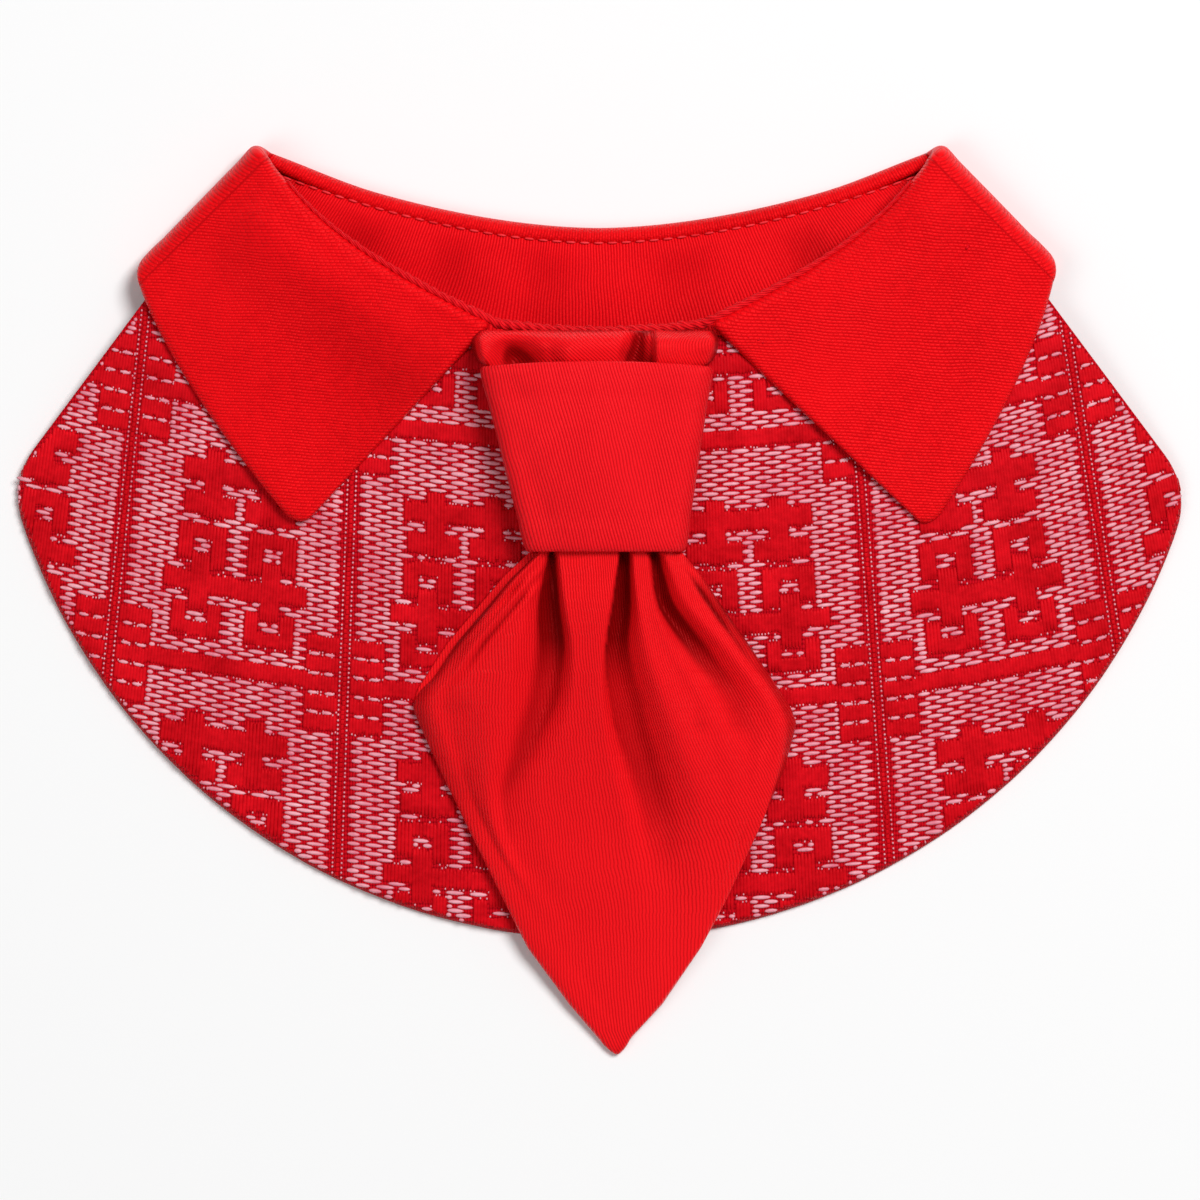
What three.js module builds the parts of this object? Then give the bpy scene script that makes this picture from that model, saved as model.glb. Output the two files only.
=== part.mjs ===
// A bib collar with a short tie, for the neck of a small dog or cat, laid on a table as it is stored.
// A round brocade bib hangs from a neckline. A turned-down collar in one folded strip goes round the
// back of the neck and ends in two pointed leaves. A band lines the inside of the neck, a thin rolled
// binding finishes the neckline between the leaves, and a gathered tie passes through a wrapped knot.
// Millimetres and degrees. +X is right as seen from above, +Y runs to the nape, +Z is up.
import * as THREE from "three";

// Cloth walls and the room between cloths that touch
const bibWall = 2;
const collarWall = 1.5;
const bandWall = 1;
const tieWall = 1.4;
const knotWall = 1.4;
const clearance = 0.35;
const leafRest = 0.55;

// Bib: a round hem about the middle of the neckline, cut off by a straight shoulder on each side.
// It is highest at the neckline and comes down to the table, sooner towards the sides.
const bibRadius = 109.8;
const leftShoulderReach = 68.5;
const rightShoulderReach = 67.4;
const shoulderAngle = 37;
const bibCornerRadius = 14;
const bibCrown = 13;
const bibLanding = 1.25;
const bibSideFall = 0.38;

// Neck loop: where the collar's roll turns at each side, and how high it passes behind the neck
const neckHalfWidth = 60.1;
const neckLean = -0.4;
const neckRise = 29.3;
const backRise = 16.1;
const backSweep = 1.8;
const frontHalfGap = 20.7;
const frontRise = -0.7;

// Collar: length of the fall at the side crease and along each leaf's front edge
const leftCreaseLength = 31.2;
const rightCreaseLength = 30.1;
const creaseAngle = 44.5;
const creaseFlatness = 0.8;
const leftLeafLength = 48.8;
const leftLeafAngle = 46.8;
const rightLeafLength = 52.3;
const rightLeafAngle = 43.1;
const leafBulge = 2.2;
const foldReturn = 0.4;

// Neck band: its height behind the neck, at the side crease and at its front end
const bandBackHeight = 25;
const bandSideHeight = 12;
const bandFrontHeight = 0.8;

// Binding of the neckline between the leaves
const bindingRadius = 1;
const bindingDrop = 0.8;
const bindingSag = 1.4;
const bindingSetback = 2.3;

// Knot: a flat tube wrapped round the gathered tie
const knotTop = 7.2;
const knotLength = 33;
const knotTopHalfWidth = 20.8;
const knotBottomHalfWidth = 14.2;
const knotThickness = 8;
const knotDrift = 1.7;
const knotArch = 0.9;

// Tie: the gathered head above the knot and the pointed tail below it
const headHalfWidth = 21.6;
const headPuff = 1.6;
const tailLength = 90.3;
const tailHalfWidth = 34.4;
const tailTouchdown = 20;

const radians = THREE.MathUtils.degToRad;
const { lerp, smoothstep } = THREE.MathUtils;

// One step between the outer and the inner layer of the folded collar. The inner layer lies level
// with the bib, so a leaf clears the bib below it by leafRest.
const layerStep = (bibWall + collarWall) / 2 + leafRest;
const rollRadius = layerStep / 2;

// Height of the bib's middle surface over the table
function bibHeight(x, y) {
  const share = Math.min(1, Math.hypot(x, y) / bibRadius);
  const sideways = 1 - bibSideFall * smoothstep(Math.abs(x), 0, neckHalfWidth);
  return bibWall / 2 + bibCrown * sideways * Math.pow(1 - share * share, bibLanding);
}

// A closed wall of cloth on both sides of a middle surface, given as rows of points. A tube's rows
// are closed loops.
function clothWall(rows, wall, tube = false) {
  const high = rows.length;
  const wide = rows[0].length;
  const columnAt = (j) => (tube ? (j + wide) % wide : THREE.MathUtils.clamp(j, 0, wide - 1));
  const rowAt = (i) => THREE.MathUtils.clamp(i, 0, high - 1);
  const positions = [];
  const along = new THREE.Vector3();
  const across = new THREE.Vector3();
  for (const side of [0.5, -0.5]) {
    rows.forEach((row, i) =>
      row.forEach((point, j) => {
        along.subVectors(rows[rowAt(i + 1)][j], rows[rowAt(i - 1)][j]);
        across.subVectors(row[columnAt(j + 1)], row[columnAt(j - 1)]);
        const normal = along.cross(across).normalize();
        positions.push(...point.clone().addScaledVector(normal, side * wall).toArray());
      }),
    );
  }
  const front = (i, j) => i * wide + columnAt(j);
  const back = (i, j) => high * wide + front(i, j);
  const index = [];
  const quad = (a, b, c, d) => index.push(a, b, c, a, c, d);
  const lastColumn = tube ? wide : wide - 1;
  for (let i = 0; i < high - 1; i++) {
    for (let j = 0; j < lastColumn; j++) {
      quad(front(i, j), front(i + 1, j), front(i + 1, j + 1), front(i, j + 1));
      quad(back(i, j), back(i, j + 1), back(i + 1, j + 1), back(i + 1, j));
    }
    if (!tube) {
      quad(front(i, 0), back(i, 0), back(i + 1, 0), front(i + 1, 0));
      quad(front(i, wide - 1), front(i + 1, wide - 1), back(i + 1, wide - 1), back(i, wide - 1));
    }
  }
  for (let j = 0; j < lastColumn; j++) {
    quad(front(0, j), front(0, j + 1), back(0, j + 1), back(0, j));
    quad(front(high - 1, j), back(high - 1, j), back(high - 1, j + 1), front(high - 1, j + 1));
  }
  const geometry = new THREE.BufferGeometry();
  geometry.setAttribute("position", new THREE.Float32BufferAttribute(positions, 3));
  geometry.setIndex(index);
  return geometry;
}

// Steps from 0 to 1, ends included
const steps = (count) => Array.from({ length: count + 1 }, (_, i) => i / count);

// Each side of the collar: -1 is the left one and 1 the right one
const sides = {
  "-1": {
    shoulder: leftShoulderReach,
    crease: leftCreaseLength,
    leaf: leftLeafLength,
    leafAngle: leftLeafAngle,
  },
  1: {
    shoulder: rightShoulderReach,
    crease: rightCreaseLength,
    leaf: rightLeafLength,
    leafAngle: rightLeafAngle,
  },
};

// Direction in which the fall runs down from the roll, at an angle below the horizontal
function fallDirection(side, degrees) {
  return new THREE.Vector2(side * Math.cos(radians(degrees)), -Math.sin(radians(degrees)));
}

// The roll of the front, from the neckline's corner at 0 to the side crease at 1
const rollBend = { outward: 0.873, upward: 0.48 };

function frontRoll(side, share) {
  const start = new THREE.Vector2(frontHalfGap, frontRise);
  const bend = new THREE.Vector2(neckHalfWidth * rollBend.outward, neckRise * rollBend.upward);
  const end = new THREE.Vector2(neckHalfWidth, neckRise);
  const roll = new THREE.QuadraticBezierCurve(start, bend, end).getPoint(share);
  return roll.set(side * roll.x + neckLean * share, roll.y);
}

// A leaf's outer edge runs nearly straight from the crease's lower end to the leaf's point
function leafDepth(side, share, roll, down) {
  const { crease, leaf, leafAngle } = sides[side];
  const corner = frontRoll(side, 1).addScaledVector(fallDirection(side, creaseAngle), crease);
  const tip = frontRoll(side, 0).addScaledVector(fallDirection(side, leafAngle), leaf);
  const edge = tip.sub(corner);
  const depth = corner.sub(roll).cross(edge) / down.cross(edge);
  return depth + leafBulge * 4 * share * (1 - share);
}

// The collar's path from one front end to the other is a list of stations: where the roll is, which
// way the fall runs, and how far down the fall and the band reach there.
function frontStation(side, share) {
  const roll = frontRoll(side, share);
  const down = fallDirection(side, lerp(sides[side].leafAngle, creaseAngle, share));
  return {
    zone: "front",
    roll,
    down,
    fall: leafDepth(side, share, roll, down),
    band: lerp(bandFrontHeight, bandSideHeight, share),
  };
}

function turnStation(side, turn) {
  return { ...frontStation(side, 1), zone: "turn", turn, out: sideOutward(side) };
}

function sideOutward(side) {
  return new THREE.Vector2(side * Math.sin(radians(creaseAngle)), Math.cos(radians(creaseAngle)));
}

function backStation(share) {
  const side = share < 0 ? -1 : 1;
  const reach = Math.abs(share);
  const rise = lerp(backRise, neckRise, Math.pow(reach, backSweep));
  const roll = new THREE.Vector2(share * neckHalfWidth + neckLean, rise);
  return {
    zone: "back",
    roll,
    down: fallDirection(side, lerp(90, creaseAngle, reach)),
    fall: lerp((leftCreaseLength + rightCreaseLength) / 2, sides[side].crease, reach),
    band: lerp(bandBackHeight, bandSideHeight, reach * reach),
  };
}

// A point of the folded collar: depth is the way down from the roll, and layer goes from 0 on the
// inside of the neck to 1 on the outside.
function collarPoint(station, depth, layer) {
  const foot = station.roll.clone().addScaledVector(station.down, depth);
  const top = bibHeight(foot.x, foot.y) + layerStep * layer;
  const bottom = collarWall / 2 + layerStep * (1 - layer);
  if (station.zone === "front") return new THREE.Vector3(foot.x, foot.y, top);
  if (station.zone === "back") return new THREE.Vector3(foot.x, foot.y, bottom);
  const radius = (top - bottom) / 2;
  foot.addScaledVector(station.out, radius * creaseFlatness * Math.sin(station.turn));
  return new THREE.Vector3(foot.x, foot.y, bottom + radius * (1 - Math.cos(station.turn)));
}

// Stations from the left front end, round the back, to the right front end
function collarStations(firstShare, frontSteps, turnSteps, backSteps) {
  const shares = steps(frontSteps).map((share) => lerp(firstShare, 1, share));
  const turns = steps(turnSteps).slice(1, -1);
  return [
    ...shares.map((share) => frontStation(-1, share)),
    ...turns.map((share) => turnStation(-1, Math.PI * (1 - share))),
    ...steps(backSteps).map((share) => backStation(2 * share - 1)),
    ...turns.map((share) => turnStation(1, Math.PI * share)),
    ...shares.reverse().map((share) => frontStation(1, share)),
  ];
}

function makeCollar() {
  const rows = collarStations(0, 9, 7, 14).map((station) => {
    const inner = [foldReturn, 0].map((depth) => collarPoint(station, depth, 0));
    const roll = steps(5)
      .slice(1, -1)
      .map((share) => {
        const angle = Math.PI * share;
        return collarPoint(station, -rollRadius * Math.sin(angle), (1 - Math.cos(angle)) / 2);
      });
    const fall = steps(6).map((share) => collarPoint(station, station.fall * share, 1));
    return [...inner, ...roll, ...fall];
  });
  return clothWall(rows, collarWall);
}

// The band starts where it is wide enough to be a strip of its own
const bandStart = 0.1;

function makeNeckBand() {
  const rows = collarStations(bandStart, 6, 6, 14).map((station) =>
    steps(3).map((share) =>
      collarPoint(station, lerp(foldReturn + clearance, station.band, share), 0),
    ),
  );
  return clothWall(rows, bandWall);
}

// The binding's centre line, seen from above
const bindingEnd = frontHalfGap - bindingSetback;
const bindingLine = (x) => bindingSag * Math.pow(x / bindingEnd, 2) - bindingDrop;

function makeBinding() {
  const points = steps(12).map((share) => {
    const x = lerp(-bindingEnd, bindingEnd, share);
    const y = bindingLine(x);
    return new THREE.Vector3(x, y, bibHeight(x, y) + bindingRadius / 2);
  });
  const section = new THREE.Shape().absarc(0, 0, bindingRadius, 0, 2 * Math.PI);
  return new THREE.ExtrudeGeometry(section, {
    steps: 24,
    curveSegments: 5,
    extrudePath: new THREE.CatmullRomCurve3(points),
  });
}

// The bib's upper edge: below the binding in the middle, and below the band under each leaf
const seamUnderBinding = 0.24;

function neckSeam(share) {
  const reach = Math.abs(share);
  if (reach <= seamUnderBinding) {
    const x = (bindingEnd * share) / seamUnderBinding;
    return new THREE.Vector2(x, bindingLine(x) - bindingRadius - clearance);
  }
  const along = (reach - seamUnderBinding) / (1 - seamUnderBinding);
  const station = frontStation(Math.sign(share), along);
  return station.roll.addScaledVector(station.down, station.band + clearance);
}

// Half of the bib's outer edge: from the collar's crease down the shoulder and round the hem
function bibHalfOutline(side, pointCount) {
  const reach = sides[side].shoulder;
  const normal = fallDirection(1, -shoulderAngle);
  const tangent = fallDirection(1, 90 - shoulderAngle);
  const crease = frontStation(side, 1);
  crease.roll.x *= side;
  crease.down.x *= side;
  const inset = crease.roll.addScaledVector(sideOutward(1), -clearance);
  const meet = (reach - inset.dot(normal)) / crease.down.dot(normal);
  const start = inset.addScaledVector(crease.down, Math.max(meet, bandSideHeight + clearance));
  const cornerReach = reach - bibCornerRadius;
  const cornerAlong = Math.sqrt((bibRadius - bibCornerRadius) ** 2 - cornerReach ** 2);
  const corner = normal.clone().multiplyScalar(cornerReach).addScaledVector(tangent, cornerAlong);
  const hemAngle = corner.angle();
  const path = new THREE.Path();
  path.moveTo(start.x, start.y);
  path.lineTo(corner.x + normal.x * bibCornerRadius, corner.y + normal.y * bibCornerRadius);
  path.absarc(corner.x, corner.y, bibCornerRadius, radians(shoulderAngle), hemAngle, true);
  path.absarc(0, 0, bibRadius, hemAngle, -Math.PI / 2, true);
  return path.getSpacedPoints(pointCount).map((point) => point.set(side * point.x, point.y));
}

function makeBib() {
  const halfColumns = 32;
  const right = bibHalfOutline(1, halfColumns);
  const left = bibHalfOutline(-1, halfColumns).reverse();
  const outline = [...right, ...left.slice(1)];
  const rows = outline.map((edge, i) => {
    const seam = neckSeam(1 - i / halfColumns);
    return steps(9).map((share) => {
      const flat = seam.clone().lerp(edge, share);
      return new THREE.Vector3(flat.x, flat.y, bibHeight(flat.x, flat.y));
    });
  });
  return clothWall(rows, bibWall);
}

// Knot: the level of its middle and its half width, at a distance down from the neckline
const knotBottom = knotTop + knotLength;
const knotLift = bibWall / 2 + clearance + knotThickness / 2;
const knotShare = (down) => (down - knotTop) / knotLength;
const knotMiddle = (down) => lerp(-knotDrift, knotDrift, knotShare(down)) / 2;
const knotHalfWidth = (down) =>
  lerp(knotTopHalfWidth, knotBottomHalfWidth, THREE.MathUtils.clamp(knotShare(down), 0, 1));
const knotLevel = (down) => bibHeight(0, -down) + knotLift;

function makeKnot() {
  const halfThickness = (knotThickness - knotWall) / 2;
  const squareness = 2 / 3;
  const rows = steps(8).map((share) => {
    const down = knotTop + knotLength * share;
    const halfWidth = knotHalfWidth(down) - knotWall / 2;
    return steps(28).slice(1).map((turn) => {
      const angle = -2 * Math.PI * turn;
      const x = Math.sign(Math.cos(angle)) * Math.pow(Math.abs(Math.cos(angle)), squareness);
      const z = Math.sign(Math.sin(angle)) * Math.pow(Math.abs(Math.sin(angle)), squareness);
      const arch = knotArch * (1 - share) * (1 - x * x);
      return new THREE.Vector3(
        knotMiddle(down) + halfWidth * x,
        -down + arch,
        knotLevel(down) + halfThickness * z,
      );
    });
  });
  return clothWall(rows, knotWall, true);
}

// Edges of the tail, as shares of its length and of its half width
const tailEdges = [
  { down: 0, left: -0.37, right: 0.42 },
  { down: 0.05, left: -0.51, right: 0.53 },
  { down: 0.113, left: -0.65, right: 0.64 },
  { down: 0.18, left: -0.8, right: 0.765 },
  { down: 0.27, left: -0.955, right: 0.925 },
  { down: 0.308, left: -0.98, right: 0.99 },
  { down: 0.34, left: -0.948, right: 1.02 },
  { down: 0.43, left: -0.843, right: 0.957 },
  { down: 0.55, left: -0.69, right: 0.826 },
  { down: 0.69, left: -0.51, right: 0.657 },
  { down: 0.786, left: -0.384, right: 0.523 },
  { down: 0.9, left: -0.165, right: 0.32 },
  { down: 0.967, left: -0.015, right: 0.157 },
  { down: 1, left: 0.055, right: 0.112 },
];

// Folds of the tie: where each ridge stands across the cloth, from -1 to 1, at the head, at the
// knot's mouth and where the tail is widest, with its width there and its height in millimetres
const tieFolds = [
  { head: -0.82, mouth: -0.86, wide: -0.68, mouthWidth: 0.15, wideWidth: 0.3, height: 1.7, lasts: 0.5 },
  { head: -0.15, mouth: -0.23, wide: -0.15, mouthWidth: 0.28, wideWidth: 0.17, height: 3, lasts: 0.7 },
  { head: 0.35, mouth: 0.47, wide: 0.5, mouthWidth: 0.17, wideWidth: 0.24, height: 2.3, lasts: 0.75 },
  { head: 0.84, mouth: 0.88, wide: 0.93, mouthWidth: 0.14, wideWidth: 0.1, height: 1.5, lasts: 0.45 },
];

function tableRow(table, down) {
  const next = Math.max(1, table.findIndex((row) => row.down >= down));
  const [a, b] = [table[next - 1], table[next]];
  const share = (down - a.down) / (b.down - a.down);
  return { left: lerp(a.left, b.left, share), right: lerp(a.right, b.right, share) };
}

// Height of the folds above the flat cloth, across the tie and down from the knot's mouth
function foldHeight(across, headShare, tailShare) {
  return tieFolds.reduce((height, fold) => {
    const spread = Math.min(1, tailShare / 0.32);
    const centre = lerp(lerp(fold.mouth, fold.head, headShare), fold.wide, spread);
    const width = lerp(fold.mouthWidth, fold.wideWidth, spread);
    const fade = 1 - smoothstep(tailShare, 0.02, fold.lasts);
    return height + fold.height * fade * Math.exp(-Math.pow((across - centre) / width, 2));
  }, 0);
}

// The tie's middle surface at a distance down from the neckline, across from -1 to 1
function tiePoint(down, across) {
  const tailShare = Math.max(0, (down - knotBottom) / tailLength);
  const headShare = 1 - smoothstep(down, 0, knotBottom);
  const inKnot = smoothstep(down, knotTop - 4, knotTop) * (1 - smoothstep(down, knotBottom, knotBottom + 14));
  const hold = knotHalfWidth(down) - knotWall - clearance - 1;
  let left = knotMiddle(down) - hold;
  let right = knotMiddle(down) + hold;
  if (down < knotTop) {
    const puff = smoothstep(knotTop - down, 0, 3);
    left = lerp(left, -headHalfWidth, puff);
    right = lerp(right, headHalfWidth - knotDrift, puff);
  }
  if (tailShare > 0) {
    const edge = tableRow(tailEdges, tailShare);
    left = edge.left * tailHalfWidth;
    right = edge.right * tailHalfWidth;
  }
  const x = lerp(left, right, (across + 1) / 2);
  const folds = foldHeight(across, headShare, tailShare);
  const past = smoothstep(down - bibRadius - clearance - 1, 0, tailTouchdown);
  const overBib = bibHeight(x, -down) + bibWall / 2 + clearance + tieWall / 2;
  const lying = lerp(overBib, tieWall / 2, past) + folds + headPuff * (down < knotTop ? 1 : 0) * inKnot;
  const held = knotLevel(Math.min(down, knotBottom)) + (folds - 1.4) * 0.42 * (1 - Math.pow(across, 6));
  return new THREE.Vector3(x, -down, lerp(lying, held, inKnot));
}

function makeTie() {
  const start = bindingRadius + 2 * clearance;
  const headRows = steps(4).map((share) => lerp(start, knotTop, share));
  const knotRows = steps(6).slice(1).map((share) => knotTop + knotLength * share);
  const tailRows = steps(28).slice(1).map((share) => knotBottom + tailLength * Math.pow(share, 1.15));
  const rows = [...headRows, ...knotRows, ...tailRows].map((down) =>
    steps(26).map((share) => tiePoint(down, 2 * share - 1)),
  );
  return clothWall(rows, tieWall);
}

function piece(name, geometry, color, roughness) {
  const material = new THREE.MeshStandardMaterial({ color, roughness, metalness: 0 });
  const mesh = new THREE.Mesh(geometry, material);
  mesh.name = name;
  return mesh;
}

const bibCollar = new THREE.Group();
bibCollar.add(
  piece("bib_panel", makeBib(), 0xd65a68, 0.7),
  piece("collar", makeCollar(), 0xdc0f18, 0.5),
  piece("neck_band", makeNeckBand(), 0xd10d16, 0.55),
  piece("neck_binding", makeBinding(), 0xd80f19, 0.5),
  piece("tie_blade", makeTie(), 0xea161f, 0.45),
  piece("tie_knot", makeKnot(), 0xea1c25, 0.45),
);

// The origin is the middle of the object's own rectangle on the table
const extent = new THREE.Box3().setFromObject(bibCollar, true);
const middle = extent.getCenter(new THREE.Vector3());
bibCollar.children.forEach((mesh) => mesh.position.set(-middle.x, -middle.y, -extent.min.z));

export default bibCollar;
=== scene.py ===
import math

import bpy
import numpy as np
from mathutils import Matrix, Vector


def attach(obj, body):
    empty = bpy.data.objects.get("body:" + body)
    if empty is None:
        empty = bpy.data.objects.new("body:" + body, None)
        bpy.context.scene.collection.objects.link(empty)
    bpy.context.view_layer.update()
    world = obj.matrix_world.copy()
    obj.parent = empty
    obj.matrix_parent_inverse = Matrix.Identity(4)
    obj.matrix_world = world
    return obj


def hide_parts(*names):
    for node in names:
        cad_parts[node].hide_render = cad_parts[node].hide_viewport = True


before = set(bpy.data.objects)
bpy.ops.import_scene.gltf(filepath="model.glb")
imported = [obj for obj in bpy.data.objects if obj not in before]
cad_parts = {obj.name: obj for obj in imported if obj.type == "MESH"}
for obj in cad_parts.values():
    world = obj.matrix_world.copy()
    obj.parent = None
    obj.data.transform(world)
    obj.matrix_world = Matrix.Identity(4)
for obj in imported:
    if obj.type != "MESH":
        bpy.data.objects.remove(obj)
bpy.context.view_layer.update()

print("scene: the frame is loaded")

# The collar is drawn in millimetres about the middle of its neckline, then laid into the frame
neckline = {"x": -0.361, "y": -49.1}
millimetre = 0.001
random = np.random.default_rng(7)


def toFrame(points):
    laid = np.array(points, dtype=float)
    laid[..., 0] -= neckline["x"]
    laid[..., 1] -= neckline["y"]
    return laid * millimetre


def mix(a, b, share):
    return a + (b - a) * share


def smooth(value, low, high):
    share = np.clip((value - low) / (high - low), 0.0, 1.0)
    return share * share * (3.0 - 2.0 * share)


def bell(value, centre, width):
    return np.exp(-(((value - centre) / width) ** 2))


def lengthsAlong(points):
    # length walked along a row of points, from its first
    return np.concatenate([[0.0], np.cumsum(np.linalg.norm(np.diff(points, axis=0), axis=1))])


def spot(across, down, place):
    # 1 at a place, fading out on all sides of it
    at, width, depth, height = place
    return bell(across, at, width) * bell(down, depth, height)


def lengthSteps(length, spacing, edge=(0.0, 0.12, 0.32, 0.6, 1.0, 1.5), ends=(True, True)):
    # places along a length, closer together where the cloth turns over its edge
    start = [e for e in edge if e < length / 2] if ends[0] else [0.0]
    stop = [length - e for e in reversed(edge) if e < length / 2] if ends[1] else [length]
    count = max(2, int(round((stop[0] - start[-1]) / spacing)) + 1)
    inner = list(np.linspace(start[-1], stop[0], count))[1:-1]
    return np.array(start + inner + stop) / length


def smoothCurve(places, values, at):
    # a smooth curve through a row of values
    places, values = np.asarray(places, float), np.asarray(values, float)
    slopes = np.gradient(values, places)
    index = np.clip(np.searchsorted(places, at) - 1, 0, len(places) - 2)
    width = places[index + 1] - places[index]
    t = np.clip((at - places[index]) / width, 0.0, 1.0)
    start, end = values[index], values[index + 1]
    leave, arrive = slopes[index] * width, slopes[index + 1] * width
    return ((2 * t ** 3 - 3 * t ** 2 + 1) * start + (t ** 3 - 2 * t ** 2 + t) * leave
            + (3 * t ** 2 - 2 * t ** 3) * end + (t ** 3 - t ** 2) * arrive)


# Closed shells of cloth
def gridNormals(points, tube=False):
    along = np.gradient(points, axis=0)
    if tube:
        across = (np.roll(points, -1, axis=1) - np.roll(points, 1, axis=1)) / 2
    else:
        across = np.gradient(points, axis=1)
    normal = np.cross(along, across)
    size = np.linalg.norm(normal, axis=2, keepdims=True)
    return normal / np.maximum(size, 1e-9)


def rowLengths(points):
    gaps = np.linalg.norm(np.diff(points, axis=1), axis=2)
    return np.concatenate([np.zeros((len(points), 1)), np.cumsum(gaps, axis=1)], axis=1)


def edgeDistance(points, tube):
    # distance in the cloth to its nearest edge; a tube has edges only at its first and last row
    down = np.linalg.norm(np.diff(points, axis=0), axis=2)
    fromTop = np.vstack([np.zeros((1, points.shape[1])), np.cumsum(down, axis=0)])
    choices = [fromTop, fromTop[-1:] - fromTop]
    if not tube:
        fromLeft = rowLengths(points)
        choices += [fromLeft, fromLeft[:, -1:] - fromLeft]
    return np.minimum.reduce(choices)


def addPiece(name, mesh):
    piece = bpy.data.objects.new(name, mesh)
    bpy.context.scene.collection.objects.link(piece)
    return piece


def clothPiece(name, points, faces, uv, depth, material, underFrom=None):
    # a piece with a UV map in metres of cloth, and the painted shade of each of its points
    mesh = bpy.data.meshes.new(name)
    mesh.from_pydata(toFrame(points).tolist(), [], faces)
    corner = np.empty(len(mesh.loops), dtype=np.int32)
    mesh.loops.foreach_get("vertex_index", corner)
    perCorner = (uv * millimetre)[corner]
    if underFrom:
        perCorner[underFrom:, 0] += 1.0  # the under side has its own part of the map
    mesh.uv_layers.new(name="cloth").data.foreach_set("uv", perCorner.astype(np.float32).ravel())
    mesh.attributes.new("paintedShade", "FLOAT", "POINT").data.foreach_set("value", depth.astype(np.float32))
    mesh.polygons.foreach_set("use_smooth", np.ones(len(mesh.polygons), dtype=bool))
    mesh.materials.append(material)
    mesh.update()
    return addPiece(name, mesh)


# The strip along an edge where the cloth is turned in: it rises between the first pair of distances
# and sinks back between the second
turnIn = {"rise": (0.4, 1.6), "sink": (3.6, 6.5)}


def clothShell(name, middle, wall, uv, material, roundness=1.0, seat=0.0, tube=False, upright=False,
               swell=0.0, shade=None):
    # A closed wall round a middle surface, with rounded edges. A seat of 1 keeps the under side where
    # it is, upright sets the wall straight down, swell thickens the turned-in strip along the edges
    # and shade is the painted shade at each place, darker in folds and hollows.
    rows, columns = middle.shape[:2]
    normal = gridNormals(middle, tube)
    if upright:
        normal = np.zeros_like(middle)
        normal[..., 2] = 1.0
    edge = edgeDistance(middle, tube)
    share = np.clip(edge / roundness, 0.0, 1.0)
    half = wall / 2 * np.sqrt(np.clip(1 - (1 - share) ** 2, 0.0, 1.0))
    drop = (wall / 2 - half) * seat
    thick = swell * smooth(edge, *turnIn["rise"]) * (1 - smooth(edge, *turnIn["sink"]))
    upper = middle + normal * (half - drop)[..., None] + normal * thick[..., None]
    lower = middle - normal * (half + drop)[..., None]
    place = np.arange(rows * columns).reshape(rows, columns)
    border = np.zeros((rows, columns), dtype=bool)
    border[0, :] = border[-1, :] = True
    if not tube:
        border[:, 0] = border[:, -1] = True
    under = np.full((rows, columns), -1)
    under[~border] = rows * columns + np.arange((~border).sum())
    under[border] = place[border]
    points = np.concatenate([upper.reshape(-1, 3), lower[~border]])
    points[:, 2] = np.maximum(points[:, 2], 0.0)  # cloth that touches the table lies on it
    sides = []
    for layer in (place, under):
        right = np.roll(layer, -1, axis=1) if tube else layer[:, 1:]
        left = layer if tube else layer[:, :-1]
        sides.append(np.stack([left[:-1], left[1:], right[1:], right[:-1]], axis=-1).reshape(-1, 4))
    top, bottom = sides[0], sides[1][:, [0, 3, 2, 1]]
    # painted shade of each point, carried to the material as an attribute
    depth = np.zeros((rows, columns)) if shade is None else shade
    return clothPiece(name, points, np.concatenate([top, bottom]).tolist(),
                      np.concatenate([uv.reshape(-1, 2), uv[~border]]),
                      np.concatenate([depth.reshape(-1), depth[~border]]), material, underFrom=top.size)


def tubeSkin(name, rings, uv, shade, material):
    # a closed tube whose ends are drawn in to a point
    rows, columns = rings.shape[:2]
    ends = [0, -1]
    points = np.concatenate([rings.reshape(-1, 3), rings[ends].mean(axis=1)])
    place = np.arange(rows * columns).reshape(rows, columns)
    right = np.roll(place, -1, axis=1)
    faces = np.stack([place[:-1], place[1:], right[1:], right[:-1]], axis=-1).reshape(-1, 4).tolist()
    first, last = rows * columns, rows * columns + 1
    faces += [[first, int(place[0, j]), int(right[0, j])] for j in range(columns)]
    faces += [[last, int(right[-1, j]), int(place[-1, j])] for j in range(columns)]
    flat = np.concatenate([uv.reshape(-1, 2), uv[ends].mean(axis=1)])
    return clothPiece(name, points, faces, flat, np.append(shade.reshape(-1), [0.0, 0.0]), material)


# Materials
def linear(red, green, blue):
    def channel(value):
        value /= 255
        return value / 12.92 if value <= 0.04045 else ((value + 0.055) / 1.055) ** 2.4
    return (channel(red), channel(green), channel(blue), 1.0)


def feed(tree, socket, value):
    # a link from another node's output, or a plain value
    if isinstance(value, bpy.types.NodeSocket):
        tree.links.new(value, socket)
    else:
        socket.default_value = value


def addNode(tree, kind, inputs=None, **settings):
    node = tree.nodes.new(kind)
    for key, value in settings.items():
        setattr(node, key, value)
    for key, value in (inputs or {}).items():
        feed(tree, node.inputs[key], value)
    return node


def calc(tree, operation, *values, clamp=False):
    node = addNode(tree, "ShaderNodeMath", dict(enumerate(values)), operation=operation, use_clamp=clamp)
    return node.outputs[0]


def blendColor(tree, factor, first, second):
    return addNode(tree, "ShaderNodeMix", {0: factor, 6: first, 7: second}, data_type="RGBA").outputs[2]


def noise(tree, place, scale, detail):
    values = {"Vector": place, "Scale": scale, "Detail": detail}
    return addNode(tree, "ShaderNodeTexNoise", values).outputs["Fac"]


def centred(tree, value):
    return calc(tree, "SUBTRACT", value, 0.5)


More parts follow.
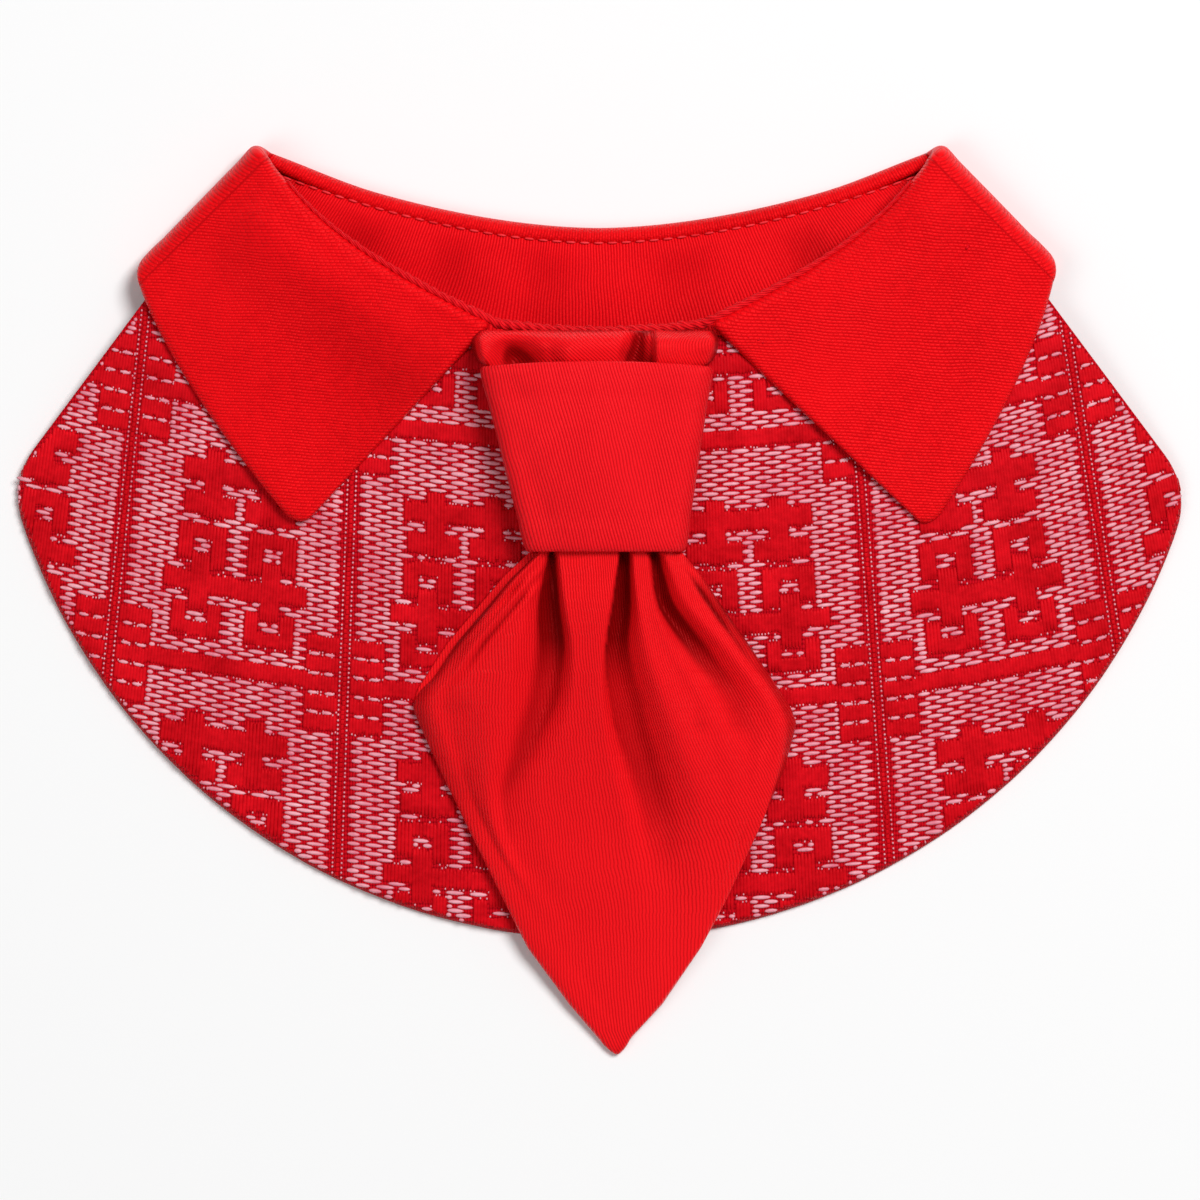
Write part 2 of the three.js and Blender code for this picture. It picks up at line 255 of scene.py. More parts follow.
def newGroup(name, inputs, outputs):
    # a shader group that takes the cloth's own place and the named numbers
    group = bpy.data.node_groups.new(name, "ShaderNodeTree")
    group.interface.new_socket("Cloth", in_out="INPUT", socket_type="NodeSocketVector")
    for label, value in inputs.items():
        socket = group.interface.new_socket(label, in_out="INPUT", socket_type="NodeSocketFloat")
        socket.default_value = value
    for label in outputs:
        group.interface.new_socket(label, in_out="OUTPUT", socket_type="NodeSocketFloat")
    return group, group.nodes.new("NodeGroupInput").outputs, group.nodes.new("NodeGroupOutput").inputs


twill = {"slackScale": 0.07, "ribPower": 2.2, "floatPower": 4.0, "step": 0.37, "fuzzScale": 5.5,
         "fuzz": 0.5, "unevenness": 0.7}
cloudNoise = {"roughness": 0.5, "contrast": 2.2}


def rounded(group, place, power):
    # 1 in the middle of a rib or float, 0 at its sides
    offset = centred(group, calc(group, "FRACT", place))
    side = calc(group, "ABSOLUTE", calc(group, "MULTIPLY", offset, 2.0))
    return calc(group, "SUBTRACT", 1.0, calc(group, "POWER", side, power))


def twillGroup():
    # Diagonal ribs of a twill: each rib is a row of short floats, a little uneven in height and shade
    settings = {"Angle": 0.0, "Pitch": 0.62, "Float": 1.1, "Breaks": 0.4, "Slack": 1.6}
    group, given, out = newGroup("twillWeave", settings, ["Height", "Shade"])
    slack = noise(group, given["Cloth"], twill["slackScale"], detail=2.0)
    turned = addNode(group, "ShaderNodeVectorRotate", {"Vector": given["Cloth"], "Angle": given["Angle"]},
                     rotation_type="Z_AXIS")
    split = addNode(group, "ShaderNodeSeparateXYZ", {"Vector": turned.outputs["Vector"]}).outputs
    bent = calc(group, "MULTIPLY_ADD", slack, given["Slack"], split["Y"])
    ribs = calc(group, "DIVIDE", bent, given["Pitch"])
    rib = calc(group, "FLOOR", ribs)
    stepped = calc(group, "MULTIPLY", rib, twill["step"])
    floats = calc(group, "ADD", calc(group, "DIVIDE", split["X"], given["Float"]), stepped)
    yarn = addNode(group, "ShaderNodeCombineXYZ", {"X": calc(group, "FLOOR", floats), "Y": rib, "Z": 0.0})
    chance = addNode(group, "ShaderNodeTexWhiteNoise", {"Vector": yarn.outputs["Vector"]},
                     noise_dimensions="3D")
    gap = calc(group, "SUBTRACT", 1.0, rounded(group, floats, twill["floatPower"]))
    broken = calc(group, "SUBTRACT", 1.0, calc(group, "MULTIPLY", given["Breaks"], gap))
    height = calc(group, "MULTIPLY", rounded(group, ribs, twill["ribPower"]), broken)
    fuzz = centred(group, noise(group, given["Cloth"], twill["fuzzScale"], detail=3.0))
    height = calc(group, "MULTIPLY_ADD", fuzz, twill["fuzz"], height)
    reach = calc(group, "MULTIPLY", given["Breaks"], twill["unevenness"])
    uneven = calc(group, "MULTIPLY", centred(group, chance.outputs["Value"]), reach)
    group.links.new(height, out["Height"])
    group.links.new(calc(group, "ADD", height, uneven), out["Shade"])
    return group


def cloudGroup():
    # Slow random change of shade over a cloth: painted broad light and shade
    group, given, out = newGroup("shadeCloud", {"Scale": 0.03}, ["Cloud"])
    cloud = addNode(group, "ShaderNodeTexNoise", {
        "Vector": given["Cloth"], "Scale": given["Scale"], "Detail": 3.0,
        "Roughness": cloudNoise["roughness"]})
    shade = calc(group, "MULTIPLY_ADD", centred(group, cloud.outputs["Fac"]), cloudNoise["contrast"], 0.5,
                 clamp=True)
    group.links.new(shade, out["Cloud"])
    return group


twillWeave = twillGroup()
shadeCloud = cloudGroup()


def newMaterial(name, look):
    material = bpy.data.materials.new(name)
    material.use_nodes = True
    tree = material.node_tree
    shader = tree.nodes["Principled BSDF"].inputs
    shader["Roughness"].default_value = look["roughness"]
    shader["Sheen Weight"].default_value = look["sheen"]
    shader["Sheen Roughness"].default_value = 0.45
    shader["Sheen Tint"].default_value = linear(*look["tint"])
    shader["Specular Tint"].default_value = linear(*look["tint"])
    shader["Specular IOR Level"].default_value = look["specular"]
    return material, tree, shader


def shadeColor(tree, shade, look):
    return blendColor(tree, shade, linear(*look["deep"]), linear(*look["bright"]))


def addBump(tree, shader, strength, depth, height):
    bump = addNode(tree, "ShaderNodeBump", {"Strength": strength, "Distance": depth, "Height": height})
    tree.links.new(bump.outputs["Normal"], shader["Normal"])


def clothPlace(tree):
    # the cloth's own UV map, read in millimetres along and across the cloth
    uv = addNode(tree, "ShaderNodeUVMap", uv_map="cloth").outputs["UV"]
    scaled = addNode(tree, "ShaderNodeVectorMath", {0: uv, "Scale": 1 / millimetre}, operation="SCALE")
    return scaled.outputs[0]


# What all the satins share; each piece's own look changes some of it. The angle of the twill is in
# degrees, its rib pitch and float length in millimetres, and the depth of its ribs in metres.
# fold is the colour of the painted shade in folds and hollows, and foldShade how strongly it is painted
satin = {"deep": (172, 0, 7), "bright": (246, 16, 26), "fold": (120, 0, 2), "foldShade": 0.8,
         "cloudScale": 0.035, "base": 0.92, "ribShare": 0.8, "ribGloss": 0.12, "ribDepth": 0.00022,
         "tint": (255, 70, 70), "sheen": 0.05, "bump": 0.6, "pitch": 0.56, "specular": 0.5}


def satinTwill(name, changes):
    look = {**satin, **changes}
    material, tree, shader = newMaterial(name, look)
    place = clothPlace(tree)
    weave = addNode(tree, "ShaderNodeGroup", node_tree=twillWeave)
    values = {"Cloth": place, "Angle": math.radians(look["angle"]), "Pitch": look["pitch"],
              "Float": look["float"], "Breaks": look["breaks"]}
    for label, value in values.items():
        feed(tree, weave.inputs[label], value)
    cloud = addNode(tree, "ShaderNodeGroup", node_tree=shadeCloud)
    feed(tree, cloud.inputs["Cloth"], place)
    feed(tree, cloud.inputs["Scale"], look["cloudScale"])
    # painted broad light and shade from the cloud
    clouded = calc(tree, "MULTIPLY", centred(tree, cloud.outputs["Cloud"]), look["cloud"])
    ribbed = calc(tree, "MULTIPLY_ADD", weave.outputs["Shade"], look["contrast"],
                  look["base"] - look["contrast"] * look["ribShare"])
    shade = calc(tree, "ADD", clouded, ribbed, clamp=True)
    color = shadeColor(tree, shade, look)
    # painted shade: the base colour is drawn towards the fold colour where the attribute says
    depth = addNode(tree, "ShaderNodeAttribute", attribute_name="paintedShade").outputs["Fac"]
    folded = calc(tree, "MULTIPLY", depth, look["foldShade"], clamp=True)
    feed(tree, shader["Base Color"], blendColor(tree, folded, color, linear(*look["fold"])))
    rough = calc(tree, "MULTIPLY_ADD", weave.outputs["Shade"], -look["ribGloss"],
                 look["roughness"] + look["ribGloss"] / 2, clamp=True)
    feed(tree, shader["Roughness"], rough)
    addBump(tree, shader, look["bump"], look["ribDepth"], weave.outputs["Height"])
    return material


# How the cloths lie: each collar station is a place along the roll, with the direction in which the
# cloth falls from it and how far
bib = {"radius": 109.8, "leftShoulder": 68.5, "rightShoulder": 67.4, "shoulderAngle": 37.0, "corner": 14.0,
       "crown": 13.0, "landing": 1.25, "sideFall": 0.38, "wall": 2.0, "edgeRound": 1.3, "seamFront": 0.24,
       "hemReach": 16.0, "hemWave": 0.12, "hemWaves": 34, "hemDrift": 1.3, "hemDrifts": 7, "hemFlat": 0.4,
       "cornerSteps": 24, "hemSteps": 160, "sideCloth": 190.0, "downCloth": 100.0, "sideStep": 1.5,
       "downStep": 1.25}
neck = {"halfWidth": 60.1, "lean": -0.4, "rise": 29.3, "backRise": 16.1, "backSweep": 1.8,
        "frontHalfGap": 20.7, "frontRise": -0.7, "bendOutward": 0.873, "bendUpward": 0.48,
        "frontLength": 55.0, "backLength": 62.0}
collar = {"wall": 1.5, "leafRest": 0.55, "leftCrease": 31.2, "rightCrease": 30.1, "creaseAngle": 44.5,
          "creaseFlatness": 0.8, "leftLeaf": 48.8, "leftLeafAngle": 46.8, "rightLeaf": 52.3,
          "rightLeafAngle": 43.1, "leafBulge": 2.2, "cornerRound": 2.6, "tipRound": 3.2, "tipLength": 50.0,
          "edgeRound": 1.0, "swell": 0.16, "foldReturn": 0.4, "backLip": 0.95, "lipEase": 5.0,
          "foldedRoll": 0.55, "frontEase": 9.0, "backRoll": 0.95, "rollEase": 6.0, "peakRise": 0.75,
          "riseEase": (1.0, 20.0), "frontCloth": 52.0, "leafCloth": 33.0, "pathDepth": 8.0,
          "alongStep": 0.75, "downStep": 0.7, "foldSteps": 26, "backSteps": 110, "rollSteps": 14}
# a full roll under the neckline of each leaf, and loose cloth below it
leafSlack = {"puff": 1.5, "puffAt": 5.6, "puffWidth": 4.2, "puffStart": (0.0, 14.0),
             "puffStop": (26.0, 54.0), "loose": 0.6, "looseStart": (0.0, 12.0), "looseBelow": (0.0, 8.0),
             "alongWave": 0.115, "wavePhase": 0.9, "downWave": 0.16, "waveDrift": 0.05}
# painted soft shade in the hollow of each leaf: how far below the roll it runs, how wide and how dark
leafHollows = [{"at": 14.0, "width": 4.5, "dark": 0.24}, {"at": 27.0, "width": 7.0, "dark": 0.03}]
# painted shade on the leaves: where it begins past the side fold, and how strong on the left and right leaf
leafShade = {"start": (-1.0, 14.0), "sides": (1.0, 0.3)}  # from the side fold on; left and right leaf
layerStep = (bib["wall"] + collar["wall"]) / 2 + collar["leafRest"]
rollRadius = layerStep / 2


def bibHeight(x, y):
    share = np.minimum(1.0, np.hypot(x, y) / bib["radius"])
    sideways = 1 - bib["sideFall"] * smooth(np.abs(x), 0.0, neck["halfWidth"])
    return bib["wall"] / 2 + bib["crown"] * sideways * (1 - share * share) ** bib["landing"]


def fallDirection(side, degrees):
    return np.array([side * math.cos(math.radians(degrees)), -math.sin(math.radians(degrees))])


def sideOutward(side):
    angle = math.radians(collar["creaseAngle"])
    return np.array([side * math.sin(angle), math.cos(angle)])


def sideValue(side, left, right):
    return left if side < 0 else right


def frontRoll(side, share):
    start = np.array([neck["frontHalfGap"], neck["frontRise"]])
    bend = np.array([neck["halfWidth"] * neck["bendOutward"], neck["rise"] * neck["bendUpward"]])
    end = np.array([neck["halfWidth"], neck["rise"]])
    roll = (1 - share) ** 2 * start + 2 * share * (1 - share) * bend + share * share * end
    return np.array([side * roll[0] + neck["lean"] * share, roll[1]])


def cross2(a, b):
    return a[0] * b[1] - a[1] * b[0]


def leafDepth(side, share, roll, down):
    crease = sideValue(side, collar["leftCrease"], collar["rightCrease"])
    leaf = sideValue(side, collar["leftLeaf"], collar["rightLeaf"])
    leafAngle = sideValue(side, collar["leftLeafAngle"], collar["rightLeafAngle"])
    corner = frontRoll(side, 1) + fallDirection(side, collar["creaseAngle"]) * crease
    tip = frontRoll(side, 0) + fallDirection(side, leafAngle) * leaf
    edge = tip - corner
    return cross2(corner - roll, edge) / cross2(down, edge) + collar["leafBulge"] * 4 * share * (1 - share)


def frontStation(side, share):
    leafAngle = sideValue(side, collar["leftLeafAngle"], collar["rightLeafAngle"])
    roll = frontRoll(side, share)
    down = fallDirection(side, mix(leafAngle, collar["creaseAngle"], share))
    return {"zone": "front", "side": side, "share": share, "roll": roll, "down": down,
            "fall": leafDepth(side, share, roll, down), "band": mix(band["front"], band["side"], share),
            "reach": (1 - share) * neck["frontLength"]}


def turnStation(side, turn):
    station = frontStation(side, 1)
    station.update(zone="turn", turn=turn, out=sideOutward(side))
    return station


def backStation(share):
    side = -1 if share < 0 else 1
    reach = abs(share)
    rise = mix(neck["backRise"], neck["rise"], reach ** neck["backSweep"])
    middle = (collar["leftCrease"] + collar["rightCrease"]) / 2
    crease = sideValue(side, collar["leftCrease"], collar["rightCrease"])
    roll = np.array([share * neck["halfWidth"] + neck["lean"], rise])
    return {"zone": "back", "side": side, "share": reach, "roll": roll,
            "down": fallDirection(side, mix(90.0, collar["creaseAngle"], reach)),
            "fall": mix(middle, crease, reach), "band": mix(band["back"], band["side"], reach * reach),
            "reach": (1 - reach) * neck["backLength"]}


def collarPoint(station, depth, layer):
    foot = station["roll"] + station["down"] * depth
    top = bibHeight(foot[0], foot[1]) + layerStep * layer
    bottom = collar["wall"] / 2 + layerStep * (1 - layer)
    if station["zone"] == "front":
        return [foot[0], foot[1], top]
    if station["zone"] == "back":
        return [foot[0], foot[1], bottom]
    radius = (top - bottom) / 2
    foot = foot + station["out"] * radius * collar["creaseFlatness"] * math.sin(station["turn"])
    return [foot[0], foot[1], bottom + radius * (1 - math.cos(station["turn"]))]


def collarStations(frontShares, turnSteps):
    turns = np.linspace(0, 1, turnSteps + 1)[1:-1]
    return ([frontStation(-1, share) for share in frontShares]
            + [turnStation(-1, math.pi * (1 - share)) for share in turns]
            + [backStation(share) for share in 2 * np.linspace(0, 1, collar["backSteps"] + 1) - 1]
            + [turnStation(1, math.pi * share) for share in turns]
            + [frontStation(1, share) for share in frontShares[::-1]])


def stationPath(stations):
    # length along the roll, measured in the cloth, for the UV map
    return lengthsAlong(np.array([collarPoint(station, collar["pathDepth"], 1) for station in stations]))


# Collar
def cornerTrim(distance, radius):
    # how far a rounded corner draws the edge back at a distance from the corner's side
    inside = np.clip(radius - distance, 0.0, radius)
    return radius - math.sqrt(radius * radius - inside * inside)


def creaseDistance(station):
    # distance from the outermost line of the side fold, where the collar ends in a rounded corner
    edge = frontStation(station["side"], 1)
    foot = edge["roll"] + edge["down"] * edge["fall"]
    radius = (bibHeight(foot[0], foot[1]) + layerStep - collar["wall"] / 2) / 2 * collar["creaseFlatness"]
    if station["zone"] == "turn":
        return radius * (1 - math.sin(station["turn"]))
    return radius + station["reach"]


def rollShape(station):
    # size of the roll, how far the collar returns inside it, and how high it stands at the side fold
    reach, folded, lip = station["reach"], collar["foldedRoll"], collar["foldReturn"]
    if station["zone"] == "front":
        return mix(folded, 1.0, smooth(reach, 0.0, collar["frontEase"])), lip, 0.0
    if station["zone"] == "turn":
        past = station["turn"] / math.pi
        return mix(collar["backRoll"], folded, past), lip, collar["peakRise"] * (1 - past)
    lip = mix(lip, collar["backLip"], smooth(reach, 0.0, collar["lipEase"]))
    rise = collar["peakRise"] * (1 - smooth(reach, *collar["riseEase"]))
    return mix(collar["backRoll"], 1.0, smooth(reach, 0.0, collar["rollEase"])), lip, rise


def leafLift(reach, along, depth):
    near = smooth(reach, *leafSlack["puffStart"]) * (1 - smooth(reach, *leafSlack["puffStop"]))
    puff = leafSlack["puff"] * near * bell(depth, leafSlack["puffAt"], leafSlack["puffWidth"])
    loose = smooth(reach, *leafSlack["looseStart"]) * smooth(depth, *leafSlack["looseBelow"])
    across = math.sin(along * leafSlack["alongWave"] + leafSlack["wavePhase"])
    down = math.sin(depth * leafSlack["downWave"] + along * leafSlack["waveDrift"])
    return puff + leafSlack["loose"] * loose * across * down


def makeCollar():
    # rows from inside the roll, over it and down the leaf, with their lengths and painted shade
    shares = lengthSteps(collar["frontCloth"], collar["alongStep"])
    stations = collarStations(shares, collar["foldSteps"])
    rolls = np.linspace(0, 1, collar["rollSteps"] + 1)[1:-1]
    falls = lengthSteps(collar["leafCloth"], collar["downStep"], ends=(False, True))
    returns = np.linspace(1, 0, 5)
    rows, flat, shade = [], [], []
    for station, along in zip(stations, stationPath(stations)):
        reach, zone = station["reach"], station["zone"]
        size, lip, rise = rollShape(station)
        size *= rollRadius
        station["roll"] = station["roll"] + np.array([0.0, rise])
        fall = station["fall"] - cornerTrim(creaseDistance(station), collar["cornerRound"])
        if zone == "front":
            fall -= cornerTrim(station["share"] * collar["tipLength"], collar["tipRound"])
        inner = [collarPoint(station, lip * share, 0) for share in returns]
        roll = [collarPoint(station, -size * math.sin(angle), (1 - math.cos(angle)) / 2)
                for angle in math.pi * rolls]
        leaf = [collarPoint(station, fall * share, 1) for share in falls]
        if zone == "front":
            for point, share in zip(leaf, falls):
                point[2] += leafLift(reach, along, fall * share)
        rows.append(inner + roll + leaf)
        # painted shade in the hollows of the leaves; none on the back
        dark = sum(hollow["dark"] * bell(fall * falls, hollow["at"], hollow["width"])
                   for hollow in leafHollows)
        onLeaf = smooth(reach, *leafShade["start"]) * sideValue(station["side"], *leafShade["sides"])
        dark = dark * (0.0 if zone == "back" else onLeaf)
        shade.append(np.concatenate([np.zeros(len(inner + roll)), dark]))
        across = np.concatenate([-math.pi * rollRadius - lip * returns, -rollRadius * math.pi * (1 - rolls),
                                 fall * falls])
        flat.append(np.stack([np.full_like(across, along), -across], axis=1))
    return np.array(rows), np.array(flat), np.array(shade), stations


def collarUv(middle, flat, stations):
    # each leaf is cut with its weave level across the leaf, so its UV follows the laid leaf; on the back
    # the weave runs across the edge, and the cloth of the side fold is spread a little
    spread = 0.7
    uv = middle[..., :2].copy()
    for row, station in enumerate(stations):
        if station["zone"] == "back":
            uv[row] = flat[row, :, ::-1]
        if station["zone"] == "turn":
            lift = middle[row, :, 2] * spread
            uv[row, :, 0] += station["side"] * lift
            uv[row, :, 1] += lift
    return uv


# Neck band
band = {"wall": 1.0, "back": 25.0, "side": 12.0, "front": 0.8, "gap": 0.04, "edgeRound": 0.4,
        "alongStep": 0.9, "downStep": 0.8, "foldSteps": 20, "firstShare": 0.1, "frontCloth": 47.0,
        "wave": 0.5, "waveTurns": 0.31, "waveDrift": 0.07, "waveBend": 1.1, "waveStart": (1.0, 9.0),
        "pucker": 0.5, "puckerTurns": 2.1, "tuck": 0.3, "tuckEnd": (0.9, 2.6), "creaseDark": 0.36,
        "rippleDark": 0.14, "rippleStart": (2.0, 6.0)}
# where the band puckers and where shade is painted on it: how far from the middle or the side fold,
# how long, how far down and how high
bandSpots = {"pucker": (5.0, 4.0, 3.5, 2.5), "corner": (2.0, 4.5, 1.0, 3.0),
             "leftCrease": (18.0, 7.0, 9.5, 5.0), "rightCrease": (25.0, 7.0, 9.5, 5.0)}


def bandPoint(station, along, depth):
    # a place on the band, and the painted shade there
    reach = station["reach"]
    ripple = math.sin(along * band["waveTurns"] + band["waveBend"] * math.sin(along * band["waveDrift"]))
    point = collarPoint(station, depth, 0)
    point[2] -= band["tuck"] * (1 - smooth(depth, *band["tuckEnd"]))
    point[2] += band["wave"] * smooth(depth, *band["waveStart"]) * ripple
    if station["zone"] == "back":
        pull = spot(reach, depth, bandSpots["pucker"])
        point[2] += band["pucker"] * pull * math.sin(along * band["puckerTurns"])
    crease = sideValue(station["side"], bandSpots["leftCrease"], bandSpots["rightCrease"])
    # painted shade in the corner by the side fold, beside the creases and in the hollows of the ripples
    dark = spot(reach, depth, bandSpots["corner"]) + band["creaseDark"] * spot(reach, depth, crease)
    rippled = smooth(-ripple, 0.0, 1.0) * smooth(depth, *band["rippleStart"])
    return point, min(1.0, dark + band["rippleDark"] * rippled)


def makeBand():
    shares = lengthSteps(band["frontCloth"], band["alongStep"], ends=(True, False))
    stations = collarStations(mix(band["firstShare"], 1.0, shares), band["foldSteps"])
    downs = lengthSteps(band["back"], band["downStep"])
    rows, flat, shade = [], [], []
    for station, along in zip(stations, stationPath(stations)):
        depths = mix(collar["foldReturn"] + band["gap"], station["band"], downs)
        points, darks = zip(*[bandPoint(station, along, depth) for depth in depths])
        rows.append(points)
        shade.append(darks)
        flat.append(np.stack([np.full_like(depths, along), -depths], axis=1))
    return np.array(rows), np.array(flat), np.array(shade)


collarLook = {"deep": (172, 0, 6), "bright": (246, 14, 22), "contrast": 0.5, "cloud": 0.34, "breaks": 0.7,
              "angle": 4.0, "float": 0.95, "roughness": 0.38}
collarMiddle, collarFlat, collarShade, stations = makeCollar()
collarUvs = collarUv(collarMiddle, collarFlat, stations)
collarPiece = clothShell("collar_cloth", collarMiddle, collar["wall"], collarUvs,
                         satinTwill("collarTwill", collarLook), collar["edgeRound"], seat=0.6,
                         swell=collar["swell"], shade=collarShade)
print("scene: the collar is cut")

bandLook = {"contrast": 0.6, "cloud": 0.3, "breaks": 0.22, "angle": 88.0, "float": 1.4, "roughness": 0.42,
            "specular": 0.45}
bandMiddle, bandFlat, bandShade = makeBand()
bandPiece = clothShell("band_cloth", bandMiddle, band["wall"], bandFlat, satinTwill("bandTwill", bandLook),
                       band["edgeRound"], shade=bandShade)
print("scene: the neck band is in")


# Binding of the neckline
binding = {"radius": 1.0, "drop": 0.8, "sag": 1.4, "setback": 2.3, "clearance": 0.35, "rollSize": 0.62,
           "endSize": 0.3, "neckSize": 0.8, "fullness": 0.9, "sink": 0.85, "layer": 0.85, "thinFrom": 0.1,
           "firstShare": 0.02, "lastShare": 0.86, "neckShare": 0.16, "neckRise": 0.1, "overlap": 0.4,
           "rollSteps": 110, "neckSteps": 150, "softening": 6, "twist": 0.14, "turns": 3.4,
           "strandDark": 0.32, "strandStart": 0.45, "lumps": 0.09, "lumpTurns": 0.9, "lumpDrift": 0.31,
           "lumpBend": 2.0, "smallLumps": 0.05, "smallTurns": 2.3, "endRound": 1.2, "endShare": 0.02,
           "rings": 620, "sides": 24}
bindingEnd = neck["frontHalfGap"] - binding["setback"]


def bindingLine(x):
    return binding["sag"] * (x / bindingEnd) ** 2 - binding["drop"]


def bindingOnRoll(side, share):
    # the binding thins out as it climbs the roll of a leaf
    thin = smooth(share, binding["thinFrom"], binding["lastShare"])
    size = mix(binding["rollSize"], binding["endSize"], thin)
    near = 1 - smooth(share, 0.0, binding["neckShare"])
    depth = -rollRadius - collar["wall"] / 2 - size * binding["sink"]
    point = collarPoint(frontStation(side, share), depth, binding["layer"])
    point[2] += near * binding["neckRise"]
    return point, mix(size, binding["radius"] * binding["neckSize"], near)


def bindingPath():
    # along the left roll, round the neckline and up the right roll: place and radius
    shares = np.linspace(binding["lastShare"], binding["firstShare"], binding["rollSteps"])
    path = [bindingOnRoll(-1, share) for share in shares]
    end = bindingEnd + binding["overlap"]
    for x in np.linspace(-end, end, binding["neckSteps"]):
        y = bindingLine(x)
        place = [x, y, bibHeight(x, y) + binding["radius"] / 2]
        path.append((place, binding["radius"] * binding["fullness"]))
    return path + [bindingOnRoll(1, share) for share in shares[::-1]]


def softened(values, passes):
    # each value is drawn towards its neighbours, the ends stay
    for _ in range(passes):
        values[1:-1] = (values[:-2] + 2 * values[1:-1] + values[2:]) / 4
    return values


def makeBinding():
    places, sizes = zip(*bindingPath())
    points = softened(np.array(places), binding["softening"])
    sizes = softened(np.array(sizes), binding["softening"])
    lengths = lengthsAlong(points)
    even = np.linspace(0, lengths[-1], binding["rings"])
    points = np.stack([np.interp(even, lengths, points[:, k]) for k in range(3)], axis=1)
    sizes = np.interp(even, lengths, sizes)
    ends = np.clip(np.minimum(even, lengths[-1] - even) / binding["endRound"], binding["endShare"], 1)
    sizes = sizes * np.sqrt(np.clip(1 - (1 - ends) ** 2, 0, 1))
    ahead = np.gradient(points, axis=0)
    ahead /= np.linalg.norm(ahead, axis=1, keepdims=True)
    sideways = np.cross(ahead, [0.0, 0.0, 1.0])
    sideways /= np.linalg.norm(sideways, axis=1, keepdims=True)
    over = np.cross(sideways, ahead)
    turns = np.linspace(0, 2 * math.pi, binding["sides"] + 1)[None, :-1]
    along = even[:, None]
    lump = np.sin(along * binding["lumpTurns"] + binding["lumpBend"] * np.sin(along * binding["lumpDrift"]))
    lumpy = 1 + binding["lumps"] * lump + binding["smallLumps"] * np.sin(along * binding["smallTurns"])
    strand = np.sin(2 * turns + along * binding["turns"])
    radius = (sizes[:, None] * lumpy * (1 + binding["twist"] * strand))[..., None]
    rings = (points[:, None] + sideways[:, None] * radius * np.cos(turns)[..., None]
             + over[:, None] * radius * np.sin(turns)[..., None])
    flat = np.stack(np.broadcast_arrays(along, turns * binding["radius"]), axis=-1)
    # painted shade in the grooves between the strands
    return rings, flat, binding["strandDark"] * smooth(-strand, binding["strandStart"], 1.0)


bindingLook = {"deep": (160, 0, 6), "bright": (244, 24, 34), "contrast": 0.7, "cloud": 0.1, "breaks": 0.1,
               "angle": 35.0, "pitch": 0.6, "float": 1.2, "roughness": 0.46, "specular": 0.4}
bindingPiece = tubeSkin("binding_roll", *makeBinding(), satinTwill("bindingTwill", bindingLook))
print("scene: the binding is rolled")


# Bib
def neckSeam(share):
    reach = abs(share)
    if reach <= bib["seamFront"]:
        x = bindingEnd * share / bib["seamFront"]
        return np.array([x, bindingLine(x) - binding["radius"] - binding["clearance"]])
    station = frontStation(-1 if share < 0 else 1, (reach - bib["seamFront"]) / (1 - bib["seamFront"]))
    return station["roll"] + station["down"] * (station["band"] + binding["clearance"])


def arcPoints(centre, radius, start, stop, count):
    angles = np.linspace(start, stop, count)
    return centre + radius * np.stack([np.cos(angles), np.sin(angles)], axis=1)


def bibHalfOutline(side, shares):
    reach = sideValue(side, bib["leftShoulder"], bib["rightShoulder"])
    angle = math.radians(bib["shoulderAngle"])
    normal = np.array([math.cos(angle), math.sin(angle)])
    tangent = np.array([normal[1], -normal[0]])
    crease = frontStation(side, 1)
    roll = crease["roll"] * np.array([side, 1])
    down = crease["down"] * np.array([side, 1])
    inset = roll - sideOutward(1) * binding["clearance"]
    meet = (reach - inset @ normal) / (down @ normal)
    start = inset + down * max(meet, band["side"] + binding["clearance"])
    cornerReach = reach - bib["corner"]
    cornerAlong = math.sqrt((bib["radius"] - bib["corner"]) ** 2 - cornerReach ** 2)
    corner = normal * cornerReach + tangent * cornerAlong
    hemAngle = math.atan2(corner[1], corner[0])
    turned = arcPoints(corner, bib["corner"], angle, hemAngle, bib["cornerSteps"])
    hem = arcPoints(np.zeros(2), bib["radius"], hemAngle, -math.pi / 2, bib["hemSteps"])
    path = np.concatenate([start[None], turned, hem[1:]])
    length = lengthsAlong(path)
    at = shares * length[-1]
    return np.stack([side * np.interp(at, length, path[:, 0]), np.interp(at, length, path[:, 1])], axis=1)


def makeBib():
    shares = lengthSteps(bib["sideCloth"], bib["sideStep"], ends=(True, False))
    left = bibHalfOutline(-1, shares)[::-1]
    outline = np.concatenate([bibHalfOutline(1, shares), left[1:]])
    seamShares = np.concatenate([1 - shares, -(1 - shares)[::-1][1:]])
    seam = np.array([neckSeam(share) for share in seamShares])
    down = lengthSteps(bib["downCloth"], bib["downStep"])
    flat = seam[:, None, :] + (outline - seam)[:, None, :] * down[None, :, None]
    x, y = flat[..., 0], flat[..., 1]
    hem = smooth(np.hypot(x, y), bib["radius"] - bib["hemReach"], bib["radius"])
    around = np.arctan2(y, x)
    wave = np.sin(around * bib["hemWaves"] + bib["hemDrift"] * np.sin(around * bib["hemDrifts"]))
    z = bibHeight(x, y) + bib["hemWave"] * wave * hem * (1 - hem * bib["hemFlat"])
    return np.stack([x, y, np.maximum(z, bib["wall"] / 2)], axis=-1)


brocadeLook = {"deep": (128, 0, 8), "bright": (212, 14, 30), "tint": (255, 70, 80), "roughness": 0.6,
               "sheen": 0.04, "specular": 0.2, "warpPitch": 0.5, "weftPitch": 0.82, "wobble": 0.12,
               "wobbleScale": 0.9, "specks": 0.9, "speckScale": 2.6, "bump": 0.6, "threadDepth": 0.0003}


def threadRidge(tree, count):
    return calc(tree, "ABSOLUTE", calc(tree, "SINE", calc(tree, "MULTIPLY", count, math.pi)))


